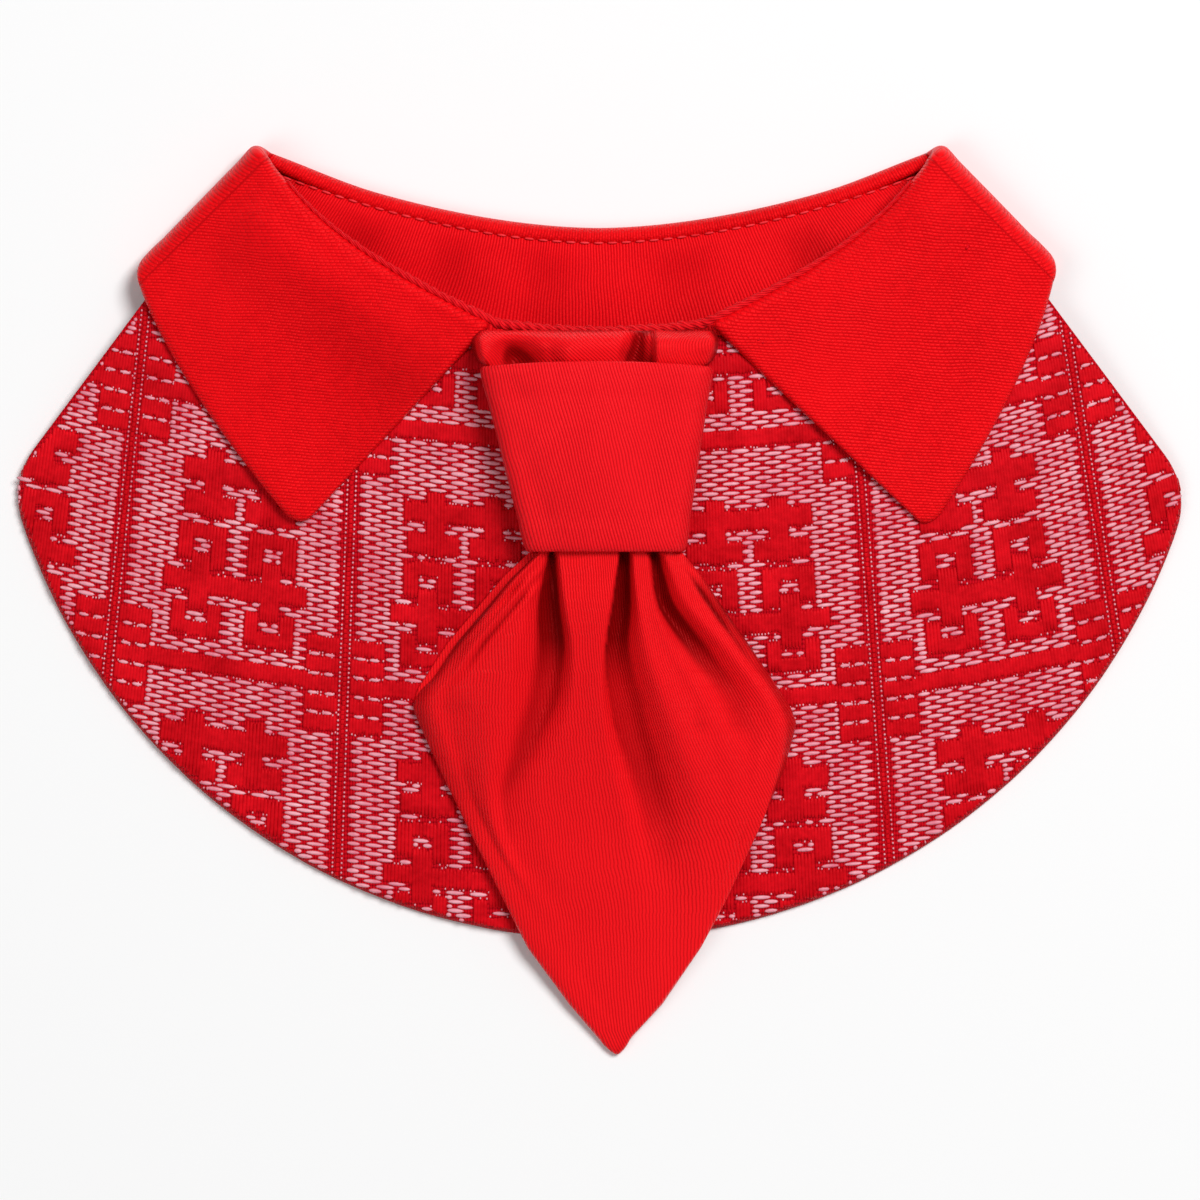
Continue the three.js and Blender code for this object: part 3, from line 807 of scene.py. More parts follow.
def brocadeGround(name):
    # red warp threads that show between the raised threads
    look = brocadeLook
    material, tree, shader = newMaterial(name, look)
    place = clothPlace(tree)
    split = addNode(tree, "ShaderNodeSeparateXYZ", {"Vector": place}).outputs
    wobble = noise(tree, place, look["wobbleScale"], detail=2.0)
    warp = calc(tree, "MULTIPLY_ADD", wobble, look["wobble"],
                calc(tree, "DIVIDE", split["X"], look["warpPitch"]))
    weft = threadRidge(tree, calc(tree, "DIVIDE", split["Y"], look["weftPitch"]))
    height = calc(tree, "MULTIPLY_ADD", weft, 0.5, calc(tree, "MULTIPLY", threadRidge(tree, warp), 0.5))
    speck = centred(tree, noise(tree, place, look["speckScale"], detail=3.0))
    shade = calc(tree, "MULTIPLY_ADD", speck, look["specks"], height, clamp=True)
    feed(tree, shader["Base Color"], shadeColor(tree, shade, look))
    addBump(tree, shader, look["bump"], look["threadDepth"], height)
    return material


bibMiddle = makeBib()
bibPiece = clothShell("bib_cloth", bibMiddle, bib["wall"], bibMiddle[..., :2],
                      brocadeGround("brocadeGround"), bib["edgeRound"], seat=1.0)
print("scene: the bib is laid")


# Brocade threads. The pattern is drawn in steps of 0.18 mm from the middle of the bib: u to the right,
# v down. Its rows sag towards the middle, and its upright stripes fan out towards the hem.
step = 0.18
weave = {"sag": (98.8, 9.4, -57.6, -9.1), "sagReach": 500.0, "spread": 0.00005, "cellHeight": 257.0,
         "cellRows": (-1, 0, 1, 2), "left": -700.0, "right": 700.0, "top": -420.0, "bottom": 400.0,
         "edge": 720.0, "hemMargin": 0.55, "trimSteps": 13, "shortest": 1.2, "thickness": 0.42}
# sizes of the threads, in the same steps; each stray is how far one may lie from its place
pinkFloat = {"rowPitch": 4.5, "pitch": 22.0, "length": 18.5, "width": 4.5, "gap": 0.6, "shortest": 5.0,
             "stray": (0.4, 0.22), "uneven": (0.04, 0.07)}
redThread = {"pitch": 3.2, "overlap": 1.5, "longer": 1.0, "stray": 0.7, "uneven": 1.0}
endDot = {"chance": 0.35, "out": 1.0, "aside": 1.6, "stray": 0.5, "size": (2.4, 1.9, 0.8)}
stripeRow = {"pitch": 4.7, "gap": 4.3, "stray": 0.3, "down": 2.0, "dot": (2.5, 2.3, 1.2),
             "thread": (4.4, 4.6, 0.7)}
openCloth = {"stripeHalf": 7.5, "room": 1.2, "shortest": 4.0}
alongWeft, alongWarp = 0, 1
floatKind, redKind, dotKind = 0, 1, 2
stripes = [
    {"at": -715.0, "lean": -0.160}, {"at": -483.0, "lean": -0.110}, {"at": -250.0, "lean": -0.043},
    {"at": 269.5, "lean": 0.080}, {"at": 510.0, "lean": 0.167}, {"at": 745.0, "lean": 0.220},
]
figures = [
    {"middle": -601.0, "width": 1.0, "height": 1.0}, {"middle": -364.0, "width": 1.0, "height": 1.0},
    {"middle": -134.0, "width": 1.0, "height": 0.94}, {"middle": 150.0, "width": 1.08, "height": 0.94},
    {"middle": 388.0, "width": 1.07, "height": 1.0}, {"middle": 630.0, "width": 1.05, "height": 1.0},
]
# strokes of the right half of one figure; the left half is its mirror. v is 0 on the bar below the figure
fret = [
    {"left": 21, "right": 38, "top": -209, "bottom": -140, "raised": 1.1},
    {"left": 0, "right": 21, "top": -197, "bottom": -176, "raised": 0.8},
    {"left": 38, "right": 61, "top": -197, "bottom": -176, "raised": 0.8},
    {"left": 6, "right": 21, "top": -164, "bottom": -143, "raised": 0.8},
    {"left": 38, "right": 57, "top": -164, "bottom": -143, "raised": 0.8},
    {"left": 12, "right": 26, "top": -135, "bottom": -92, "raised": 1.0},
    {"left": 26, "right": 46, "top": -135, "bottom": -120, "raised": 0.8},
    {"left": 46, "right": 60, "top": -134, "bottom": -97, "raised": 1.0},
    {"left": 27, "right": 45, "top": -107, "bottom": -49, "raised": 1.2},
    {"left": 0, "right": 27, "top": -87, "bottom": -67, "raised": 0.8},
    {"left": 45, "right": 72, "top": -88, "bottom": -69, "raised": 0.8},
    {"left": 13, "right": 25, "top": -58, "bottom": -25, "raised": 1.0},
    {"left": 48, "right": 61, "top": -58, "bottom": -25, "raised": 1.0},
    {"left": 25, "right": 48, "top": -39, "bottom": -25, "raised": 0.45},
]
figureFoot = -25
# a block of dashes beside each stripe, where a bar crosses it
block = {"inner": 6.5, "outer": 38.0, "rows": 5, "pitch": 19.0, "rowHeight": 15.0, "drop": 2.5,
         "raised": 0.8, "dashes": (15.0, 30.0), "dash": (10.5, 4.2, 1.1), "stray": 0.5}
bar = {"height": 17.0, "raised": 0.7}


def clothToBib(u, v):
    lean = np.interp(u, [stripe["at"] for stripe in stripes], [stripe["lean"] for stripe in stripes])
    reach = np.asarray(u) / weave["sagReach"]
    level = sum(factor * reach ** power for power, factor in enumerate(weave["sag"]))
    y = level + v * (1 + weave["spread"] * np.abs(u))
    return u + lean * y, y


def patternStrokes():
    # left, right, top, bottom and height of each satin stroke
    strokes = []
    for row in weave["cellRows"]:
        level = row * weave["cellHeight"]
        for figure in figures:
            middle = figure["middle"]
            for stroke in fret:
                low, high = (middle + stroke[end] * figure["width"] for end in ("left", "right"))
                top, bottom = (level + figureFoot + (stroke[end] - figureFoot) * figure["height"]
                               for end in ("top", "bottom"))
                strokes.append((low, high, top, bottom, stroke["raised"]))
                strokes.append((2 * middle - high, 2 * middle - low, top, bottom, stroke["raised"]))
        for before, after in zip(stripes[:-1], stripes[1:]):
            strokes.append((before["at"] + block["outer"], after["at"] - block["outer"],
                            level - bar["height"] / 2, level + bar["height"] / 2, bar["raised"]))
        for stripe in stripes:
            for line in range(block["rows"]):
                middle = level + block["drop"] + (line - (block["rows"] - 1) / 2) * block["pitch"]
                top, bottom = middle - block["rowHeight"] / 2, middle + block["rowHeight"] / 2
                for side in (-1, 1):
                    ends = sorted(stripe["at"] + side * block[end] for end in ("inner", "outer"))
                    strokes.append((*ends, top, bottom, block["raised"]))
    return strokes


def stripeBlocks():
    # left, right, top and bottom of each block of dashes
    reach = block["rows"] * block["pitch"] / 2
    middles = [row * weave["cellHeight"] + block["drop"] for row in weave["cellRows"]]
    return [(stripe["at"] - block["outer"], stripe["at"] + block["outer"], middle - reach, middle + reach)
            for middle in middles for stripe in stripes]


def openSpans(v, strokes, blocks):
    # the lengths of one weft thread that no stroke, stripe or block covers
    room, half = openCloth["room"], openCloth["stripeHalf"]
    taken = [(s[0], s[1]) for s in strokes if s[2] - room < v < s[3] + room]
    taken += [(stripe["at"] - half, stripe["at"] + half) for stripe in stripes]
    taken += [(b[0], b[1]) for b in blocks if b[2] < v < b[3]]
    spans, cursor = [], -weave["edge"]
    for low, high in sorted(taken):
        if low - cursor > openCloth["shortest"]:
            spans.append((cursor, low))
        cursor = max(cursor, high)
    return spans + [(cursor, weave["edge"])]


def jitter(size):
    return random.normal(0.0, size)


def floatThreads(strokes, blocks):
    # pink floats in staggered rows, cut short where the red pattern covers them
    threads = []
    look, half = pinkFloat, pinkFloat["length"] / 2
    for number, v in enumerate(np.arange(weave["top"], weave["bottom"], look["rowPitch"])):
        spans = openSpans(v, strokes, blocks)
        start = weave["left"] + (number % 2) * look["pitch"] / 2
        for u in np.arange(start, weave["right"], look["pitch"]):
            for low, high in spans:
                left, right = max(u - half, low + look["gap"]), min(u + half, high - look["gap"])
                if right - left > look["shortest"]:
                    place = ((left + right) / 2 + jitter(look["stray"][0]), v + jitter(look["stray"][1]))
                    length = (right - left) * (1 + jitter(look["uneven"][0]))
                    width = look["width"] * (1 + jitter(look["uneven"][1]))
                    threads.append((*place, length, width, 1.0, alongWeft, floatKind))
    return threads


def strokeThreads(strokes):
    # red threads side by side in each stroke, with a pink dot here and there at its ends
    threads = []
    width = redThread["pitch"] * redThread["overlap"]
    for left, right, top, bottom, raised in strokes:
        count = max(2, int(round((right - left) / redThread["pitch"])))
        for i in range(count):
            u = left + (i + 0.5) * (right - left) / count
            v = (top + bottom) / 2 + jitter(redThread["stray"])
            length = bottom - top + redThread["longer"] + jitter(redThread["uneven"])
            threads.append((u, v, length, width, raised, alongWarp, redKind))
            for edge in (top - endDot["out"], bottom + endDot["out"]):
                if random.random() < endDot["chance"]:
                    place = (u + endDot["aside"], edge + jitter(endDot["stray"]))
                    threads.append((*place, *endDot["size"], alongWarp, dotKind))
    return threads


def stripeThreads():
    # each stripe is a red thread between two rows of dots, with dashes beside it in the blocks
    threads = []
    gap, stray = stripeRow["gap"], stripeRow["stray"]
    for stripe in stripes:
        at = stripe["at"]
        for v in np.arange(weave["top"], weave["bottom"], stripeRow["pitch"]):
            for side in (-1, 1):
                dot = (at + side * gap, v + jitter(stray), *stripeRow["dot"])
                threads.append((*dot, alongWarp, dotKind))
            red = (at + jitter(stray), v + stripeRow["down"], *stripeRow["thread"])
            threads.append((*red, alongWarp, redKind))
        for row in weave["cellRows"]:
            for line in range(block["rows"] - 1):
                level = row * weave["cellHeight"] + block["drop"]
                v = level + (line - (block["rows"] - 2) / 2) * block["pitch"]
                for dash in block["dashes"]:
                    for side in (-1, 1):
                        pink = (at + side * dash + jitter(block["stray"]), v, *block["dash"])
                        threads.append((*pink, alongWeft, floatKind))
    return threads


def patternThreads():
    # rows of u, v, length, width, height, direction and kind
    strokes = patternStrokes()
    return np.array(floatThreads(strokes, stripeBlocks()) + strokeThreads(strokes) + stripeThreads())


# the section of a thread: a flat underside and a low ridge
section = {"across": (-0.5, -0.24, 0.24, 0.5), "top": 0.42, "under": -0.12, "tip": -0.05}


def threadMesh(name, profile):
    # one thread, a unit long and a unit wide; the profile gives its width at places along it
    points, faces = [(-0.5, 0.0, section["tip"])], []
    for x, size in profile:
        for y in section["across"]:
            points.append((x, y * size, section["top"] * size if abs(y) < 0.5 else section["under"]))
    points.append((0.5, 0.0, section["tip"]))
    last = len(points) - 1
    for base in range(1, last - 4, 4):
        faces += [(base + j, base + j + 4, base + j + 5, base + j + 1) for j in range(3)]
        faces.append((base + 3, base + 7, base + 4, base))
    for j in range(3):
        faces.append((0, 1 + j, 2 + j))
        faces.append((last, last - 3 + j, last - 4 + j))
    faces += [(0, 4, 1), (last, last - 4, last - 1)]
    mesh = bpy.data.meshes.new(name)
    mesh.from_pydata(points, [], faces)
    mesh.polygons.foreach_set("use_smooth", np.ones(len(faces), dtype=bool))
    return bpy.data.objects.new(name, mesh)


def geometryTree(name, inputs):
    tree = bpy.data.node_groups.new(name, "GeometryNodeTree")
    sockets = {}
    given = {"Geometry": "Geometry", "Thread": "Object", "Material": "Material", **inputs}
    for label, kind in given.items():
        socket = tree.interface.new_socket(label, in_out="INPUT", socket_type="NodeSocket" + kind)
        sockets[label] = socket.identifier
    tree.interface.new_socket("Geometry", in_out="OUTPUT", socket_type="NodeSocketGeometry")
    return tree, tree.nodes.new("NodeGroupInput").outputs, sockets


def namedField(tree, name):
    field = addNode(tree, "GeometryNodeInputNamedAttribute", {"Name": name}, data_type="FLOAT_VECTOR")
    return field.outputs[0]


def standThreads(tree, given, points, turn, size):
    # a thread on each point, made real and given its material
    thread = addNode(tree, "GeometryNodeObjectInfo", {"Object": given["Thread"]})
    copies = addNode(tree, "GeometryNodeInstanceOnPoints", {
        "Points": points, "Instance": thread.outputs["Geometry"], "Rotation": turn.outputs["Rotation"],
        "Scale": size})
    real = addNode(tree, "GeometryNodeRealizeInstances", {"Geometry": copies.outputs["Instances"]})
    finish = addNode(tree, "GeometryNodeSetMaterial", {"Geometry": real.outputs["Geometry"],
                                                       "Material": given["Material"]})
    addNode(tree, "NodeGroupOutput", {"Geometry": finish.outputs["Geometry"]})


def realPiece(name, mesh, tree, sockets, values):
    # the tree's result on a mesh of places, as a plain mesh
    places = addPiece(name + "Places", mesh)
    modifier = places.modifiers.new("threads", "NODES")
    modifier.node_group = tree
    for label, value in values.items():
        modifier[sockets[label]] = value
    made = bpy.data.meshes.new_from_object(places.evaluated_get(bpy.context.evaluated_depsgraph_get()))
    bpy.data.objects.remove(places)
    made.name = name
    print("scene:", name, len(made.polygons), "faces")
    return addPiece(name, made)


def threadTree():
    # sets threads on a cloth at places given in the cloth's own map, each turned along its own direction
    tree, given, sockets = geometryTree("clothThreads", {"Cloth": "Object", "Lift": "Float"})
    cloth = addNode(tree, "GeometryNodeObjectInfo", {"Object": given["Cloth"]})
    found = []
    for field in ("GeometryNodeInputPosition", "GeometryNodeInputNormal"):
        found.append(addNode(tree, "GeometryNodeSampleUVSurface", {
            "Mesh": cloth.outputs["Geometry"], "Value": tree.nodes.new(field).outputs[0],
            "Source UV Map": namedField(tree, "cloth"), "Sample UV": namedField(tree, "place")},
            data_type="FLOAT_VECTOR").outputs)
    position, normal = found
    lifted = addNode(tree, "ShaderNodeVectorMath", {0: normal["Value"], "Scale": given["Lift"]},
                     operation="SCALE")
    raised = addNode(tree, "ShaderNodeVectorMath", {0: position["Value"], 1: lifted.outputs[0]},
                     operation="ADD")
    facing = addNode(tree, "GeometryNodeStoreNamedAttribute", {
        "Geometry": given["Geometry"], "Name": "facing", "Value": normal["Value"]},
        data_type="FLOAT_VECTOR", domain="POINT")
    points = addNode(tree, "GeometryNodeMeshToPoints", {
        "Mesh": facing.outputs["Geometry"], "Selection": position["Is Valid"],
        "Position": raised.outputs[0]})
    turn = addNode(tree, "FunctionNodeAxesToRotation", {
        "Primary Axis": namedField(tree, "facing"), "Secondary Axis": namedField(tree, "along")},
        primary_axis="Z", secondary_axis="X")
    standThreads(tree, given, points.outputs["Points"], turn, namedField(tree, "size"))
    return tree, sockets


threadNodes, threadSockets = threadTree()
spindleThread = threadMesh("spindleThread", [(-0.38, 0.66), (-0.14, 1.0), (0.14, 1.0), (0.38, 0.66)])
bluntThread = threadMesh("bluntThread", [(-0.47, 0.8), (-0.3, 1.0), (0.3, 1.0), (0.47, 0.8)])


def onBib(x, y, margin):
    # whether a place lies on the bib's face, at least a margin from its edge
    inside = np.hypot(x, y) < bib["radius"] - margin
    angle = math.radians(bib["shoulderAngle"])
    for side in (-1, 1):
        reach = sideValue(side, bib["leftShoulder"], bib["rightShoulder"])
        inside &= side * x * math.cos(angle) + y * math.sin(angle) < reach - margin
    return inside


def bibPlace(u, v):
    x, y = clothToBib(u, v)
    return x * step + neckline["x"], -y * step + neckline["y"]


def trimmed(threads):
    # threads cut back to what lies on the bib
    shares = np.linspace(-0.5, 0.5, weave["trimSteps"])
    upright = threads[:, 5] == alongWarp
    reach = threads[:, 2:3] * shares
    u = threads[:, 0:1] + np.where(upright[:, None], 0.0, reach)
    v = threads[:, 1:2] + np.where(upright[:, None], reach, 0.0)
    inside = onBib(*bibPlace(u, v), weave["hemMargin"])
    first = np.where(inside.any(axis=1), inside.argmax(axis=1), 0)
    last = np.where(inside.any(axis=1), len(shares) - 1 - inside[:, ::-1].argmax(axis=1), 0)
    middle = (shares[first] + shares[last]) / 2 * threads[:, 2]
    cut = threads.copy()
    cut[:, 0] += np.where(upright, 0.0, middle)
    cut[:, 1] += np.where(upright, middle, 0.0)
    cut[:, 2] = threads[:, 2] * (shares[last] - shares[first])
    return cut[cut[:, 2] > weave["shortest"]]


def onPlane(x, y):
    return np.stack([x, y, np.zeros_like(x)], axis=1)


def setThreads(name, kind, shape, material, lift):
    threads = trimmed(allThreads[allThreads[:, 6] == kind])
    u, v = threads[:, 0], threads[:, 1]
    x, y = bibPlace(u, v)
    weft, warp = (onPlane(*bibPlace(u + right, v + down)) - onPlane(x, y)
                  for right, down in ((1, 0), (0, 1)))
    size = threads[:, 2:5] * [step, step, weave["thickness"]]
    fields = {"place": onPlane(x, y) * millimetre, "size": size * millimetre,
              "along": np.where(threads[:, 5:6] == alongWarp, warp, weft)}
    mesh = bpy.data.meshes.new(name + "Places")
    mesh.from_pydata(onPlane(x, y).tolist(), [], [])
    for label, values in fields.items():
        attribute = mesh.attributes.new(label, "FLOAT_VECTOR", "POINT")
        attribute.data.foreach_set("vector", values.astype(np.float32).ravel())
    return realPiece(name, mesh, threadNodes, threadSockets,
                     {"Cloth": bibPiece, "Thread": shape, "Lift": lift * millimetre, "Material": material})


# shared by the yarns: fine lines along each float, and how much lighter or darker a float may be
yarn = {"grainScale": 900.0, "patchScale": 160.0, "patch": 1.2, "bump": 0.3, "grainDepth": 0.0001}
pinkLook = {"deep": (220, 98, 122), "bright": (250, 184, 194), "tint": (255, 225, 228), "roughness": 0.45,
            "sheen": 0.06, "specular": 0.4}
redLook = {"deep": (178, 4, 14), "bright": (232, 16, 30), "tint": (255, 80, 90), "roughness": 0.48,
           "sheen": 0.05, "specular": 0.35}


def yarnMaterial(name, look):
    # untwisted filament
    material, tree, shader = newMaterial(name, look)
    place = addNode(tree, "ShaderNodeTexCoord").outputs["Object"]
    grain = noise(tree, place, yarn["grainScale"], detail=2.0)
    patch = centred(tree, noise(tree, place, yarn["patchScale"], detail=1.0))
    shade = calc(tree, "MULTIPLY_ADD", patch, yarn["patch"], grain, clamp=True)
    feed(tree, shader["Base Color"], shadeColor(tree, shade, look))
    addBump(tree, shader, yarn["bump"], yarn["grainDepth"], grain)
    return material


allThreads = patternThreads()
pinkYarn = yarnMaterial("pinkFilament", pinkLook)
redYarn = yarnMaterial("redFilament", redLook)
pinkPiece = setThreads("bib_pink_floats", floatKind, spindleThread, pinkYarn, lift=0.02)
redPiece = setThreads("bib_red_threads", redKind, bluntThread, redYarn, lift=0.02)
dotPiece = setThreads("bib_pink_dots", dotKind, spindleThread, pinkYarn, lift=0.04)
print("scene: the brocade is woven")


# Tie and knot, by distance down from the neckline
tie = {"wall": 1.4, "tailLength": 90.3, "tailHalfWidth": 34.4, "touchdown": 20.0, "spanStart": 85.0,
       "spanEase": (80.0, 101.0), "tipRound": 1.8, "tipShare": 0.97, "puffEase": (-1.4, 0.8),
       "intoKnot": 2.0, "creep": 0.05, "creepTurns": ((0.9, 0.21), (0.12, 0.33)), "edgeRound": 0.8,
       "swell": 0.12, "downStep": 0.55, "acrossCloth": 50.0, "acrossStep": 0.34}
# narrow pleats beside the tail's slanting upper edges: pitch, depth and how far in they fade out
pleats = {"pitch": 2.9, "start": (0.02, 0.08), "stop": (0.2, 0.3), "left": 0.5, "leftFade": (2.4, 8.5),
          "right": 0.32, "rightFade": (1.2, 4.6)}
# how the twill leans: outwards on the right of the tail, and slanting on the left of the head
grain = {"middle": -1.5, "turn": 0.34, "turnAcross": (-6.0, 30.0), "turnEnd": (84.0, 124.0), "pivot": 82.0,
         "headEnd": 20.0, "headTurn": 0.75, "headEdge": 9.9, "headPivot": 5.0, "eased": 0.45}
# how dark the painted shade in the folds is: near the knot, further down, and in the head
foldShades = {"start": 0.12, "near": 1.6, "far": 0.55, "nearEnd": (43.0, 66.0), "head": 0.45,
              "headEnd": (9.0, 20.0), "broad": (9, 1.2), "narrow": (3, 0.42)}
ply = {"wall": 0.8, "inset": 1.7, "insetEnd": (0.24, 0.3), "width": 5.0, "widthStep": 0.5, "length": 0.3,
       "lengthStep": 0.012, "edge": (0.0, 0.003, 0.008), "lift": 0.8, "under": 0.95, "edgeRound": 0.4}
knot = {"wall": 1.4, "top": 7.2, "length": 33.0, "topHalfWidth": 20.8, "bottomHalfWidth": 14.2,
        "thickness": 8.0, "drift": 1.7, "arch": 0.9, "clearance": 0.35, "hold": 0.4, "heldDown": 0.2,
        "boxiness": 2 / 3, "sideStart": 0.86, "sideDark": 0.3, "edgeRound": 0.9, "swell": 0.14,
        "downStep": 0.6, "sides": 160}
# the tail's outline: shares of its length and half width
tailEdges = [
    {"down": 0.0, "left": -0.37, "right": 0.42}, {"down": 0.05, "left": -0.51, "right": 0.53},
    {"down": 0.113, "left": -0.65, "right": 0.64}, {"down": 0.18, "left": -0.8, "right": 0.765},
    {"down": 0.27, "left": -0.955, "right": 0.925}, {"down": 0.308, "left": -0.98, "right": 0.99},
    {"down": 0.34, "left": -0.948, "right": 1.02}, {"down": 0.43, "left": -0.843, "right": 0.957},
    {"down": 0.55, "left": -0.69, "right": 0.826}, {"down": 0.69, "left": -0.51, "right": 0.657},
    {"down": 0.786, "left": -0.384, "right": 0.523}, {"down": 0.9, "left": -0.165, "right": 0.32},
    {"down": 0.967, "left": -0.015, "right": 0.157}, {"down": 1.0, "left": 0.055, "right": 0.112},
]
# fold lines of the tail and of the gathered head: how far across each runs at the places listed down
# the tie, and how high it stands off the cloth below
tailDowns = (40.3, 44.2, 48.7, 57.7, 66.7, 75.7, 84.7, 93.7, 104.5, 130.6)
tailFolds = {
    "leftRidge": {
        "across": (-10.4, -14.2, -17.6, -23.6, -29.3, -26.8, -23.0, -18.5, -13.3, 1.6),
        "height": (4.5, 4.48, 4.42, 3.56, 2.38, 1.44, 0.5, 0.4, 0.3, 0.1)},
    "leftLobe": {
        "across": (-9.5, -11.3, -13.1, -16.0, -18.5, -19.6, -20.0, -17.3, -10.1, 2.0),
        "height": (4, 4.14, 4.29, 4.5, 4.25, 3.2, 2.1, 1.2, 0.5, 0.1)},
    "leftValley": {
        "across": (-8.6, -8.6, -8.6, -8.1, -9.9, -13.5, -16.7, -14.9, -6.8, 2.2),
        "height": (1.3, 0.7, 0.2, 0.1, 0.4, 0.8, 1.1, 0.9, 0.4, 0.1)},
    "centreLeft": {
        "across": (-7.6, -7.0, -6.3, -4.7, -4.9, -7.7, -10.8, -9.2, -2.3, 2.5),
        "height": (4.5, 4.82, 5.2, 4.96, 4.1, 3.1, 2.2, 1.4, 0.5, 0.1)},
    "centreRight": {
        "across": (3.1, 2.5, 1.8, 0.4, 0.0, 0.9, 3.1, 5.2, 4.9, 2.9),
        "height": (4.8, 5.15, 5.59, 5.42, 4.59, 3.3, 2.2, 1.28, 0.5, 0.1)},
    "rightValley": {
        "across": (3.8, 3.2, 2.7, 1.3, 2.7, 5.2, 8.1, 10.4, 10.6, 3.1),
        "height": (1, 0.4, 0.1, 0.2, 0.3, 0.3, 0.2, 0.3, 0.35, 0.1)},
    "valleyFloor": {
        "across": (4.5, 4.3, 4.1, 2.5, 4.1, 6.8, 9.7, 12.1, 12.6, 3.2),
        "height": (1, 0.5, 0.2, 0.1, 0.1, 0.1, 0.15, 0.25, 0.35, 0.1)},
    "rightPleat": {
        "across": (5.8, 6.1, 6.7, 8.5, 11.7, 14.9, 17.8, 19.1, 17.8, 3.4),
        "height": (4.6, 4.93, 5.46, 5.74, 5.44, 4.68, 3.42, 1.92, 0.7, 0.1)},
    "rightPleatEdge": {
        "across": (8.1, 8.5, 9.2, 12.1, 17.5, 21.4, 23.6, 23.6, 20.3, 3.6),
        "height": (4.5, 4.82, 5.2, 4.96, 4.2, 3.5, 2.6, 1.44, 0.6, 0.1)},
    "outerValley": {
        "across": (9.5, 9.9, 10.6, 17.5, 24.3, 28.1, 27.9, 25.7, 21.1, 3.8),
        "height": (1.4, 1, 0.8, 1, 1.6, 2.1, 1.8, 0.8, 0.5, 0.1)},
    "rightRidge": {
        "across": (11.3, 12.8, 15.1, 22.7, 29.2, 31.7, 30.1, 27.4, 22.0, 4.0),
        "height": (4.4, 4.37, 4.29, 3.72, 3.06, 2.16, 1.44, 0.5, 0.3, 0.1)},
}
tailRim = {"left": (3.4, 2.5, 1.5, 0.6, 0.3, 0.15, 0.1, 0.1, 0.0, 0.0),
           "right": (3.2, 2.5, 1.7, 0.9, 0.5, 0.3, 0.15, 0.1, 0.0, 0.0)}
headDowns = (0.7, 1.9, 3.7, 5.5, 7.7)
headFolds = {
    "leftRoll": {
        "across": (-20.6, -21.2, -21.2, -20.8, -20),
        "height": (3, 5.4, 6.5, 6.3, 4.3)},
    "dimple": {
        "across": (-16.4, -16.2, -15.8, -15.4, -15.0),
        "height": (2.4, 3.6, 1.8, 0.4, 0.4)},
    "pastDimple": {
        "across": (-10.6, -10.2, -9.8, -9.2, -8.8),
        "height": (2.4, 4.4, 4.9, 4.0, 3.0)},
    "middle": {
        "across": (-5.6, -5.6, -5.6, -5.6, -5.6),
        "height": (2.6, 4.8, 5.9, 5.6, 4.2)},
    "beforeCrease": {
        "across": (3.4, 3.2, 3, 2.6, 2.4),
        "height": (2.2, 4, 4.6, 4.2, 3.6)},
    "crease": {
        "across": (7.2, 6.8, 6.5, 5.9, 5.6),
        "height": (1.2, 0.9, 0.5, 0.3, 0.6)},
    "lip": {
        "across": (9, 9, 9, 9, 9),
        "height": (1.28, 2.6, 2.8, 2.6, 2.3)},
    "step": {
        "across": (9.9, 9.9, 9.9, 9.9, 9.9),
        "height": (3, 5.5, 6.6, 6.3, 4.8)},
    "rightFace": {
        "across": (15.1, 15.1, 15.1, 15.1, 15.1),
        "height": (2.5, 4.4, 5.2, 5.1, 4.4)},
    "rightRoll": {
        "across": (18.9, 19.3, 19.4, 19.1, 18.2),
        "height": (2.6, 4.9, 5.7, 5, 3.6)},
}
headRim = {"left": (1.2, 1.0, 0.9, 1.0, 1.6), "right": (1.2, 1.2, 1.0, 1.2, 1.6)}
headEdge = {"left": (-21.6, -22.8, -23.0, -22.5, -21.4), "right": (20.0, 20.8, 20.9, 20.3, 19.2)}
knotBottom = knot["top"] + knot["length"]
lying = bib["wall"] / 2 + knot["clearance"] + tie["wall"] / 2
offBib = bib["radius"] + knot["clearance"] + 1
# past this height over the bib the tail is stiff enough to run straight to the table, over the hem
spanHigh = bibHeight(0.0, -tie["spanStart"]) + lying


def knotMiddle(down):
    return mix(-knot["drift"], knot["drift"], (down - knot["top"]) / knot["length"]) / 2


def knotHalfWidth(down):
    share = np.clip((down - knot["top"]) / knot["length"], 0, 1)
    return mix(knot["topHalfWidth"], knot["bottomHalfWidth"], share)


def knotLevel(down):
    return bibHeight(0.0, -down) + bib["wall"] / 2 + knot["clearance"] + knot["thickness"] / 2


def foldRow(downs, folds, rim, left, right, down, x):
    # height of one row of the tie: crests and valleys are level, and the cloth eases between them
    apart = 0.05
    places = [left] + [smoothCurve(downs, fold["across"], down) for fold in folds.values()] + [right]
    curves = [rim["left"]] + [fold["height"] for fold in folds.values()] + [rim["right"]]
    heights = np.array([smoothCurve(downs, curve, down) for curve in curves])
    for k in range(1, len(places)):
        places[k] = max(places[k], places[k - 1] + apart)
    places = np.array(places)
    places = left + (places - left) * (right - left) / (places[-1] - left)
    index = np.clip(np.searchsorted(places, x) - 1, 0, len(places) - 2)
    share = smooth((x - places[index]) / (places[index + 1] - places[index]), 0.0, 1.0)
    return mix(heights[index], heights[index + 1], share)


def tailEdge(side, share):
    downs, edges = zip(*[(row["down"], row[side]) for row in tailEdges])
    return np.interp(share, downs, edges) * tie["tailHalfWidth"]


